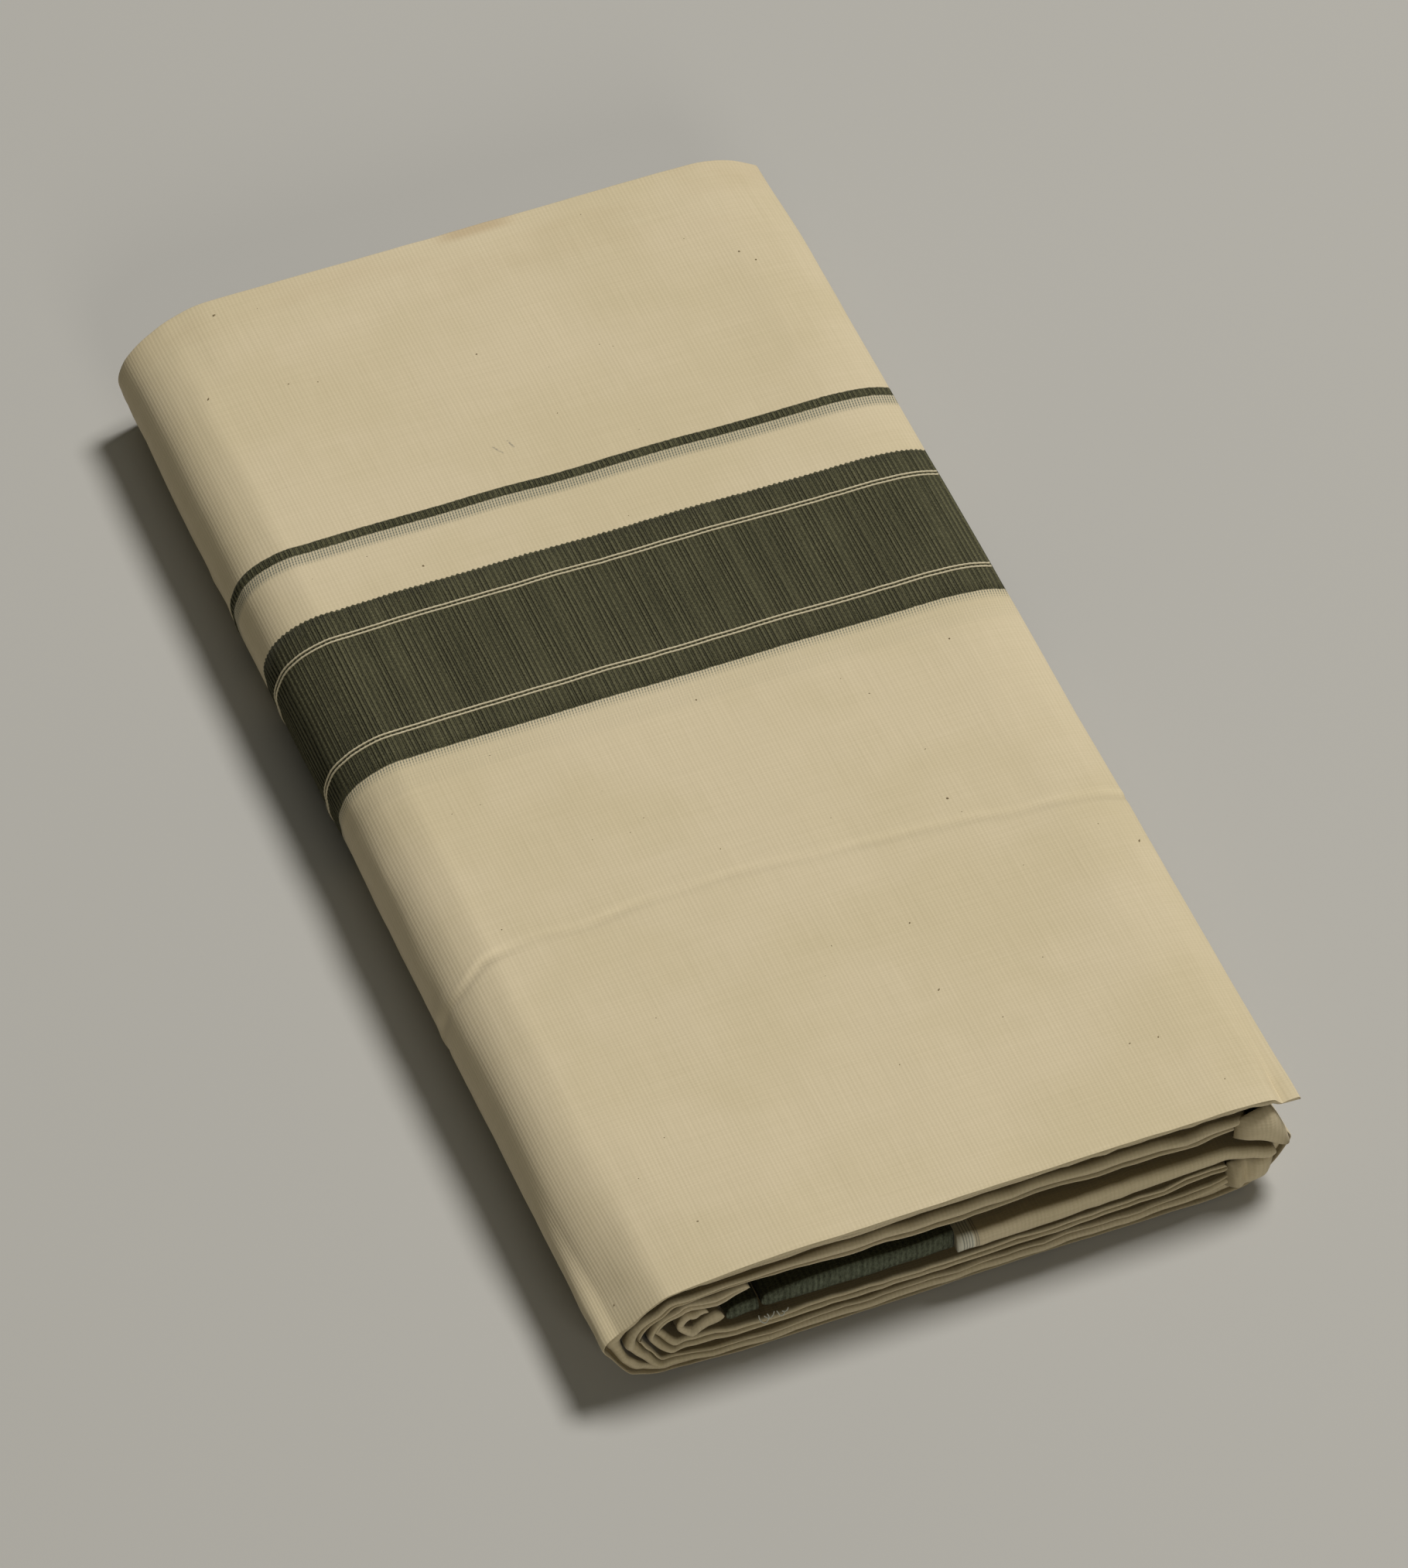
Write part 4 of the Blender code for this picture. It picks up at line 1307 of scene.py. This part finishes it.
def rib_tree():
    """Ribs side by side along the cloth, each a rounded bar that lies on it and ends a little unevenly."""
    name = "Woven ribs"
    if name in bpy.data.node_groups:
        return bpy.data.node_groups[name]
    tree, make, given = geometry_tree(name, (
        ("Cloth", "NodeSocketObject"), ("Material", "NodeSocketMaterial"), ("First", "NodeSocketFloat"),
        ("Last", "NodeSocketFloat"), ("Near Edge", "NodeSocketFloat"), ("Far Edge", "NodeSocketFloat"),
        ("Pitch", "NodeSocketFloat"), ("Width", "NodeSocketFloat"), ("Height", "NodeSocketFloat"),
        ("Uneven", "NodeSocketFloat"), ("Rows", "NodeSocketInt"), ("Seed", "NodeSocketInt"),
    ))
    run = make.math("SUBTRACT", given["Last"], given["First"])
    count = make.math("FLOOR", make.math("DIVIDE", run, given["Pitch"]))
    line = make.node("GeometryNodeMeshLine", {
        "Count": count, "Start Location": make.vector(given["First"]), "Offset": make.vector(given["Pitch"]),
    }).outputs[0]
    blank = make.node("GeometryNodeMeshCube", {
        "Size": (1.0, 1.0, 1.0), "Vertices X": 4, "Vertices Y": given["Rows"], "Vertices Z": 2,
    }).outputs["Mesh"]
    there = own_place(make)
    blank_shape = make.vector(make.times(there["X"], given["Width"]), there["Y"], there["Z"])
    blank = make.node("GeometryNodeSetPosition", {"Geometry": blank, "Position": blank_shape}).outputs[0]
    bars = make.node("GeometryNodeInstanceOnPoints", {"Points": line, "Instance": blank}).outputs[0]
    bars = make.node("GeometryNodeRealizeInstances", {"Geometry": bars}).outputs[0]
    place = own_place(make)
    number = make.math("DIVIDE", make.math("SUBTRACT", place["X"], given["First"]), given["Pitch"])
    number = make.math("ROUND", number)
    centre = make.math("MULTIPLY_ADD", number, given["Pitch"], given["First"])
    ends = []
    for offset in (0, 1):
        chance = make.node("FunctionNodeRandomValue", {
            "ID": number, "Seed": make.math("ADD", given["Seed"], float(offset)),
        }, data_type="FLOAT").outputs[1]
        ends.append(make.times(chance, given["Uneven"]))
    low = make.add(given["Near Edge"], ends[0])
    high = make.math("SUBTRACT", given["Far Edge"], ends[1])
    along = make.add(place["Y"], 0.5)
    v = make.math("MULTIPLY_ADD", make.math("SUBTRACT", high, low), along, low)
    off_centre = make.math("DIVIDE", make.math("SUBTRACT", place["X"], centre), given["Width"])
    round_top = make.step(make.math("ABSOLUTE", off_centre), 0.52, 0.1)
    near_down = make.step(along, 0.0, 0.03, 0.25, 1.0)
    far_down = make.step(along, 1.0, 0.97, 0.25, 1.0)
    top = make.times(make.times(round_top, given["Height"]), make.times(near_down, far_down))
    is_top = make.math("GREATER_THAN", place["Z"], 0.0)
    sunk = make.times(make.math("SUBTRACT", is_top, 1.0), RIB_SINK)
    height = make.add(make.times(top, is_top), sunk)
    spot = make.vector(place["X"], v, 0.0)
    position, normal = on_cloth(make, given["Cloth"], spot)
    stored = make.node("GeometryNodeStoreNamedAttribute", {
        "Geometry": bars, "Name": "UVMap", "Value": spot,
    }, data_type="FLOAT2", domain="CORNER").outputs[0]
    placed = make.node("GeometryNodeSetPosition", {
        "Geometry": stored, "Position": lifted(make, position, normal, height),
    }).outputs[0]
    end_tree(make, placed, given["Material"])
    return tree


def cord_tree():
    """A beaded cord laid across the cloth, in step with its ribs."""
    name = "Pinstripe cord"
    if name in bpy.data.node_groups:
        return bpy.data.node_groups[name]
    tree, make, given = geometry_tree(name, (
        ("Cloth", "NodeSocketObject"), ("Material", "NodeSocketMaterial"), ("First", "NodeSocketFloat"),
        ("Last", "NodeSocketFloat"), ("Place", "NodeSocketFloat"), ("Pitch", "NodeSocketFloat"),
        ("Diameter", "NodeSocketFloat"), ("Wander", "NodeSocketFloat"), ("Lift", "NodeSocketFloat"),
    ))
    start = make.vector(given["First"], given["Place"])
    end = make.vector(given["Last"], given["Place"])
    line = make.node("GeometryNodeCurvePrimitiveLine", {"Start": start, "End": end}).outputs[0]
    step = make.math("DIVIDE", given["Pitch"], 3.0)
    line = make.node("GeometryNodeResampleCurve", {"Curve": line, "Length": step}, mode="LENGTH").outputs[0]
    place = own_place(make)
    sway = make.noise(make.vector(make.times(place["X"], 160.0), 3.7), detail=2.0)
    v = make.math("MULTIPLY_ADD", make.math("SUBTRACT", sway, 0.5), given["Wander"], place["Y"])
    spot = make.vector(place["X"], v, 0.0)
    position, normal = on_cloth(make, given["Cloth"], spot)
    bead = make.wave(place["X"], given["Pitch"])
    lift = make.times(given["Lift"], make.math("MULTIPLY_ADD", bead, 0.25, 0.85))
    stored = make.node("GeometryNodeSetCurveRadius", {
        "Curve": line, "Radius": make.math("MULTIPLY_ADD", bead, 0.2, 0.85),
    }).outputs[0]
    placed = make.node("GeometryNodeSetPosition", {
        "Geometry": stored, "Position": lifted(make, position, normal, lift),
    }).outputs[0]
    ring = make.node("GeometryNodeCurvePrimitiveCircle", {
        "Resolution": 6, "Radius": make.times(given["Diameter"], 0.5),
    }).outputs[0]
    tube = make.node("GeometryNodeCurveToMesh", {"Curve": placed, "Profile Curve": ring, "Fill Caps": True})
    if "Scale" in tube.inputs:
        make.feed(tube.inputs["Scale"], make.node("GeometryNodeInputRadius").outputs[0])
    end_tree(make, tube.outputs[0], given["Material"])
    return tree


def fleck_tree():
    """Small husks caught in the weave, each turned and sized by chance."""
    name = "Cotton flecks"
    if name in bpy.data.node_groups:
        return bpy.data.node_groups[name]
    tree, make, given = geometry_tree(name, (
        ("Geometry", "NodeSocketGeometry"), ("Material", "NodeSocketMaterial"),
        ("Size", "NodeSocketFloat"), ("Seed", "NodeSocketInt"),
    ))
    husk = make.node("GeometryNodeMeshUVSphere", {"Segments": 7, "Rings": 5, "Radius": 0.5}).outputs["Mesh"]
    turn = make.node("FunctionNodeRandomValue", {
        0: (0.0, 0.0, 0.0), 1: (0.3, 0.3, 6.28), "Seed": given["Seed"],
    }, data_type="FLOAT_VECTOR").outputs[0]
    scale = make.node("FunctionNodeRandomValue", {
        0: (0.5, 0.35, 0.2), 1: (1.3, 0.8, 0.35), "Seed": make.math("ADD", given["Seed"], 1.0),
    }, data_type="FLOAT_VECTOR").outputs[0]
    scale = make.scaled(scale, given["Size"])
    flecks = make.node("GeometryNodeInstanceOnPoints", {
        "Points": given["Geometry"], "Instance": husk, "Rotation": turn, "Scale": scale,
    }).outputs[0]
    end_tree(make, flecks, given["Material"])
    return tree


def grown(name, tree, inputs, start=None):
    """A new plain mesh object from a tree: its inputs are set, it is evaluated, and no modifier is left."""
    base = bpy.data.objects.new(name + "_base", start or bpy.data.meshes.new(name + "_base"))
    bpy.context.scene.collection.objects.link(base)
    modifier = base.modifiers.new("Shape", "NODES")
    modifier.node_group = tree
    for item in tree.interface.items_tree:
        if item.in_out == "INPUT" and item.name in inputs:
            modifier[item.identifier] = inputs[item.name]
    base.update_tag()
    bpy.context.view_layer.update()
    seen = base.evaluated_get(bpy.context.evaluated_depsgraph_get())
    mesh = bpy.data.meshes.new_from_object(seen)
    mesh.name = name
    made = bpy.data.objects.new(name, mesh)
    bpy.context.scene.collection.objects.link(made)
    bpy.data.objects.remove(base)
    if not mesh.vertices:
        raise RuntimeError(f"{name} has no geometry")
    return made


def thread_tree():
    """Loose yarn: a line made wavy and given its thickness."""
    name = "Loose yarn"
    if name in bpy.data.node_groups:
        return bpy.data.node_groups[name]
    tree, make, given = geometry_tree(name, (
        ("Geometry", "NodeSocketGeometry"), ("Material", "NodeSocketMaterial"),
        ("Diameter", "NodeSocketFloat"), ("Waviness", "NodeSocketFloat"),
    ))
    line = make.node("GeometryNodeMeshToCurve", {"Mesh": given["Geometry"]}).outputs[0]
    line = make.node("GeometryNodeCurveSplineType", {"Curve": line}, spline_type="CATMULL_ROM").outputs[0]
    step = make.times(given["Diameter"], 1.2)
    line = make.node("GeometryNodeResampleCurve", {"Curve": line, "Length": step}, mode="LENGTH").outputs[0]
    here = make.node("GeometryNodeInputPosition").outputs[0]
    curl = make.node("ShaderNodeTexNoise", {"Vector": here, "Scale": 900.0, "Detail": 2.0}).outputs["Color"]
    curl = make.node("ShaderNodeVectorMath", {0: curl, 1: (0.5, 0.5, 0.5)}, operation="SUBTRACT").outputs[0]
    curl = make.scaled(curl, given["Waviness"])
    line = make.node("GeometryNodeSetPosition", {"Geometry": line, "Offset": curl}).outputs[0]
    ring = make.node("GeometryNodeCurvePrimitiveCircle", {
        "Resolution": 6, "Radius": make.times(given["Diameter"], 0.5),
    }).outputs[0]
    tube = make.node("GeometryNodeCurveToMesh", {"Curve": line, "Profile Curve": ring, "Fill Caps": True})
    end_tree(make, tube.outputs[0], given["Material"])
    return tree


def smooth_rows(rows, steps):
    """Rows of points with more between them, on smooth curves through them."""
    rows = np.asarray(rows, float)
    padded = np.concatenate([2.0 * rows[:1] - rows[1:2], rows, 2.0 * rows[-1:] - rows[-2:-1]])
    made = []
    for k in range(len(rows) - 1):
        p0, p1, p2, p3 = padded[k : k + 4]
        for step in range(steps):
            t = step / steps
            made.append(0.5 * (
                2.0 * p1 + (p2 - p0) * t + (2.0 * p0 - 5.0 * p1 + 4.0 * p2 - p3) * t**2
                + (3.0 * p1 - p0 - 3.0 * p2 + p3) * t**3
            ))
    return np.array(made + [rows[-1]])


def crumpled_cloth(name, patches, thickness):
    """Small patches of folded cloth as one mesh, each a smooth sheet of this thickness through its points."""
    points, faces, uv, shade_depths = [], [], [], []
    for patch in patches:
        grid = smooth_rows(np.swapaxes(smooth_rows(patch, CORNER_STEPS), 0, 1), CORNER_STEPS)
        across, down = grid.shape[:2]
        along_a = np.gradient(grid, axis=0)
        along_d = np.gradient(grid, axis=1)
        normal = np.cross(along_a, along_d)
        normal = normal / np.maximum(np.linalg.norm(normal, axis=-1, keepdims=True), 1e-9)
        normal = normal * np.where(normal[..., 1:2].mean() > 0.0, -1.0, 1.0)
        a, d = np.meshgrid(np.linspace(-1.0, 1.0, across), np.linspace(-1.0, 1.0, down), indexing="ij")
        thinner = np.sqrt(np.clip(1.0 - np.maximum(a**10, d**10), 0.0, 1.0))[..., None]
        half = 0.5 * thickness * thinner
        start = sum(len(part) for part in points)
        points += [(grid + normal * half).reshape(-1, 3), (grid - normal * half).reshape(-1, 3)]
        front = start + np.arange(across * down).reshape(across, down)
        back = front + across * down
        turned = np.cross(along_a, along_d)[..., 1].mean() > 0.0
        for layer, flip in ((front, turned), (back, not turned)):
            corners = (layer[:-1, :-1], layer[1:, :-1], layer[1:, 1:], layer[:-1, 1:])
            quads = np.stack(corners, -1).reshape(-1, 4)
            faces += (quads[:, ::-1] if flip else quads).tolist()
        rim = np.concatenate([front[:-1, 0], front[-1, :-1], front[:0:-1, -1], front[0, :0:-1]])
        rim_back = rim + across * down
        for k in range(len(rim)):
            n = (k + 1) % len(rim)
            quad = [rim[k], rim_back[k], rim_back[n], rim[n]]
            faces.append([int(corner) for corner in (quad[::-1] if turned else quad)])
        flat = np.stack([grid[..., 0], grid[..., 2]], -1).reshape(-1, 2)
        uv += [flat, flat]
        # Painted shade at each patch's left and lower edges, where it lies between plies.
        depth = CORNER_PAINTED_SHADE * np.maximum(np.clip(-a, 0.0, 1.0) ** 3, d**4).ravel()
        shade_depths += [depth, depth]
    flat = np.concatenate(uv)
    corners = np.array([flat[k] for face in faces for k in face])
    obj = make_object(name, np.concatenate(points), faces, corners)
    keep_value(obj, SHADE_DEPTH_NAME, np.concatenate(shade_depths))
    return obj


def press(sweep, x, z, radius, way):
    """Moves the near end's folds along Y round a place."""
    near = smoothstep(NEAR_Y + PRESS_RUN[0], NEAR_Y + PRESS_RUN[1], sweep.y)
    away = ((sweep.x - x) ** 2 + (sweep.z - z) ** 2) / radius**2
    sweep.y = sweep.y + way * near * np.exp(-away)


def surface_point(sweep, x, y):
    """The top of the outer cloth at x, y, in millimetres."""
    on_top = (sweep.outer > 0.99) & (sweep.z > TOP_LOW)
    away = np.hypot(sweep.x - x, sweep.y - y) + np.where(on_top, 0.0, math.inf)
    k = np.unravel_index(np.argmin(away), away.shape)
    return x, y, float(sweep.z[k])


def build_bundle(spec):
    """One bundle of the packet, uneven and pressed. The outer cloth also has creases and a skewed weave."""
    piece, node, *insets, fold, ragged, plies = spec
    sweep = Sweep(PATHS[node], piece, insets, fold, ragged, plies)
    if piece == "outer_cloth":
        sweep.push(relief(sweep))
        skew = SKEW_SLOPE * np.clip(sweep.u - SKEW_MIDDLE, -SKEW_REACH, SKEW_REACH)
        skew = skew + SKEW_WAVER * wander(sweep.u, 71, 90.0, 25.0)
        sweep.v = sweep.v - skew[:, None] * smoothstep(*SKEW_RUN, sweep.y)
    else:
        u = sweep.u[:, None] + 0.0 * sweep.x
        sweep.push(INNER_SWELL * rolling(u, sweep.y, sweep.seed + 5, *INNER_SWELL_WAVES))
    for name, x, z, radius, way in PRESSES:
        if name == piece:
            press(sweep, x, z, radius, way)
    return sweep


class DhotiOperator:
    """What every operator here shares."""

    bl_options = {"REGISTER", "UNDO"}


class DHOTI_OT_outer_cloth(DhotiOperator, bpy.types.Operator):
    """Builds the last turn: the flap on top, the left fold, the underside and the turn up at the right"""

    bl_idname = "dhoti.outer_cloth"
    bl_label = "Outer cloth"

    def execute(self, context):
        scene = context.scene
        sweep = build_bundle(BUNDLES[0])
        cloth = sweep.make()
        material = printed_material("Ecru cotton with borders", scene.dhoti_colours, scene.dhoti_border)
        finish_piece(cloth, material, (BUNDLES[0][1],))
        BUILT["outer_cloth"] = sweep
        return {"FINISHED"}


class DHOTI_OT_inner_cloth(DhotiOperator, bpy.types.Operator):
    """Builds the turns inside the outer one, and the cut end of the dark cross border among them"""

    bl_idname = "dhoti.inner_cloth"
    bl_label = "Inner turns"

    def execute(self, context):
        scene = context.scene
        plain = cotton_material("Ecru cotton", scene.dhoti_colours)
        dark = border_material("Border cotton", scene.dhoti_colours, scene.dhoti_border, True)
        lined = cotton_material("Ecru cotton with end lines", scene.dhoti_colours, END_LINES)
        for spec in BUNDLES[1:]:
            sweep = build_bundle(spec)
            is_border = spec[0] in BORDER_PIECES
            cotton = dark if is_border else lined if spec[0] == "inner_turn_cloth" else plain
            finish_piece(sweep.make(), cotton, (spec[1],))
            BUILT[spec[0]] = sweep
        folds = crumpled_cloth("near_corner_folds", CORNER_FOLDS, CORNER_THICKNESS)
        finish_piece(folds, plain)
        return {"FINISHED"}


class DHOTI_OT_borders(DhotiOperator, bpy.types.Operator):
    """Lays the ribs of the wide band and the thin stripe, and the pinstripe cords, on the outer cloth"""

    bl_idname = "dhoti.borders"
    bl_label = "Woven borders"

    def execute(self, context):
        border = context.scene.dhoti_border
        colours = context.scene.dhoti_colours
        cloth = bpy.data.objects["outer_cloth"]
        rib_yarn = border_material("Border rib yarn", colours, border, False)
        darker = tuple(CORD_SHADE * part for part in colours.cord)
        cord_yarn = yarn_material("Pinstripe yarn", colours.cord, darker)
        last = (BUILT["outer_cloth"].u[-1] - BORDER_STOP) * MM
        shared = {"Cloth": cloth, "First": BORDER_START * MM, "Last": last, "Pitch": border.rib_pitch}
        ribs = {
            "Material": rib_yarn, "Width": RIB_SHARE * border.rib_pitch, "Height": border.rib_height,
            "Uneven": RIB_UNEVEN * MM, "Seed": 4,
        }
        bands = (
            ("wide_band_ribs", border.wide_near, border.wide_far, WIDE_BAND_ROWS),
            ("thin_stripe_ribs", border.thin_near, border.thin_far, THIN_STRIPE_ROWS),
        )
        for name, near_edge, far_edge, rows in bands:
            band = grown(name, rib_tree(), {
                **shared, **ribs, "Near Edge": near_edge, "Far Edge": far_edge, "Rows": rows,
            })
            finish_piece(band, rib_yarn)
        for name, centre in (("near_pinstripe", border.near_pin), ("far_pinstripe", border.far_pin)):
            for side, half in (("near", -0.5), ("far", 0.5)):
                cord = grown(f"{name}_{side}", cord_tree(), {
                    **shared, "Material": cord_yarn, "Place": centre + half * border.pin_gap,
                    "Diameter": border.pin_cord, "Wander": CORD_WANDER * MM, "Lift": border.rib_height,
                })
                finish_piece(cord, cord_yarn)
        return {"FINISHED"}


class DHOTI_OT_flecks(DhotiOperator, bpy.types.Operator):
    """Scatters the dark husks that are caught in the weave, and the loose threads at the near end"""

    bl_idname = "dhoti.flecks"
    bl_label = "Flecks and threads"

    def execute(self, context):
        sweep = BUILT["outer_cloth"]
        kinds = (
            ("dark_flecks", FLECKS, FLECK_SIZE, 5),
            ("small_flecks", self.scattered(), SMALL_FLECK_SIZE, 9),
        )
        for name, places, size, seed in kinds:
            points = [Vector(surface_point(sweep, x, y)) * MM for x, y in places]
            mesh = bpy.data.meshes.new(name + "_points")
            mesh.from_pydata(points, [], [])
            husk = yarn_material("Husk " + name, *HUSK)
            given = {"Material": husk, "Size": size * MM, "Seed": seed}
            flecks = grown(name, fleck_tree(), given, mesh)
            finish_piece(flecks, husk)
        white = yarn_material("White yarn", *WHITE_YARN)
        lines = bpy.data.meshes.new("loose_thread_lines")
        points = [Vector(point) * MM for thread in LOOSE_THREADS for point in thread]
        edges, start = [], 0
        for thread in LOOSE_THREADS:
            edges += [(k, k + 1) for k in range(start, start + len(thread) - 1)]
            start += len(thread)
        lines.from_pydata(points, edges, [])
        threads = grown("loose_threads", thread_tree(), {
            "Material": white, "Diameter": THREAD_DIAMETER * MM, "Waviness": THREAD_WAVINESS * MM,
        }, lines)
        finish_piece(threads, white)
        return {"FINISHED"}

    def scattered(self):
        """Places for the small husks, by chance."""
        rng = np.random.default_rng(23)
        along_x, along_y = SMALL_FLECK_PLACES
        return [(rng.uniform(*along_x), rng.uniform(*along_y)) for _ in range(SMALL_FLECKS)]


class DHOTI_OT_stage(DhotiOperator, bpy.types.Operator):
    """Sets the pale floor, the soft light and the camera"""

    bl_idname = "dhoti.stage"
    bl_label = "Stage"

    def execute(self, context):
        stage = context.scene.dhoti_stage
        self.floor()
        self.light("Key", *KEY_LIGHT, stage.key_power)
        self.light("Fill", *FILL_LIGHT, stage.fill_power)
        world = bpy.data.worlds.new("Room")
        world.use_nodes = True
        background = world.node_tree.nodes["Background"]
        background.inputs["Color"].default_value = rgba(ROOM)
        background.inputs["Strength"].default_value = stage.ambient
        context.scene.world = world
        context.scene.view_settings.view_transform = "Standard"
        self.camera(context, stage)
        return {"FINISHED"}

    def floor(self):
        half = FLOOR_HALF
        corners = [(x, y, FLOOR_LOW) for x, y in ((-half, -half), (half, -half), (half, half), (-half, half))]
        mesh = bpy.data.meshes.new("floor")
        mesh.from_pydata(corners, [], [(0, 1, 2, 3)])
        floor = bpy.data.objects.new("floor", mesh)
        bpy.context.scene.collection.objects.link(floor)
        material, make, shader = new_material("Pale floor")
        place = make.node("ShaderNodeTexCoord").outputs["Object"]
        grain = make.noise(place, scale=3.0, detail=2.0)
        colour = make.mix(grain, *(rgba(part) for part in FLOOR_COLOURS))
        make.feed(shader.inputs["Base Color"], colour)
        shader.inputs["Roughness"].default_value = 0.9
        shader.inputs["Specular IOR Level"].default_value = 0.15
        mesh.materials.append(material)

    def light(self, name, place, size, colour, power):
        lamp = bpy.data.lights.new(name, "AREA")
        lamp.shape = "DISK"
        lamp.size = size
        lamp.energy = power
        lamp.color = colour
        holder = bpy.data.objects.new(name, lamp)
        holder.location = place
        holder.rotation_euler = Vector(place).to_track_quat("Z", "Y").to_euler()
        bpy.context.scene.collection.objects.link(holder)

    def camera(self, context, stage):
        lens = bpy.data.cameras.new("Camera")
        lens.sensor_width = SENSOR_WIDTH
        lens.lens = stage.focal_px / FRAME_PIXELS * lens.sensor_width
        holder = bpy.data.objects.new("Camera", lens)
        level = math.cos(stage.elevation)
        away = Vector((
            math.sin(stage.azimuth) * level, -math.cos(stage.azimuth) * level, math.sin(stage.elevation)
        ))
        holder.location = Vector(CAMERA_TARGET) + stage.distance * away
        holder.rotation_euler = away.to_track_quat("Z", "Y").to_euler()
        context.scene.collection.objects.link(holder)
        context.scene.camera = holder


class DHOTI_PT_panel(bpy.types.Panel):
    """The dhoti's sizes, colours and pieces."""

    bl_idname = "DHOTI_PT_panel"
    bl_label = "Folded dhoti"
    bl_space_type = "VIEW_3D"
    bl_region_type = "UI"
    bl_category = "Dhoti"

    def draw(self, context):
        for group in (context.scene.dhoti_border, context.scene.dhoti_colours, context.scene.dhoti_stage):
            box = self.layout.box()
            for name in group.__annotations__:
                box.prop(group, name)
        for operator in OPERATORS:
            self.layout.operator(operator.bl_idname)


OPERATORS = (
    DHOTI_OT_outer_cloth, DHOTI_OT_inner_cloth, DHOTI_OT_borders, DHOTI_OT_flecks, DHOTI_OT_stage,
)
GROUPS = (("dhoti_border", DhotiBorder), ("dhoti_colours", DhotiColours), ("dhoti_stage", DhotiStage))


def register():
    for cls in (*(group for _, group in GROUPS), *OPERATORS, DHOTI_PT_panel):
        bpy.utils.register_class(cls)
    for name, group in GROUPS:
        setattr(bpy.types.Scene, name, bpy.props.PointerProperty(type=group))


def unregister():
    for name, _ in GROUPS:
        delattr(bpy.types.Scene, name)
    for cls in (DHOTI_PT_panel, *reversed(OPERATORS), *(group for _, group in reversed(GROUPS))):
        bpy.utils.unregister_class(cls)


def main():
    register()
    bpy.ops.dhoti.outer_cloth()
    bpy.ops.dhoti.inner_cloth()
    bpy.ops.dhoti.borders()
    bpy.ops.dhoti.flecks()
    bpy.ops.dhoti.stage()


if __name__ == "__main__":
    main()
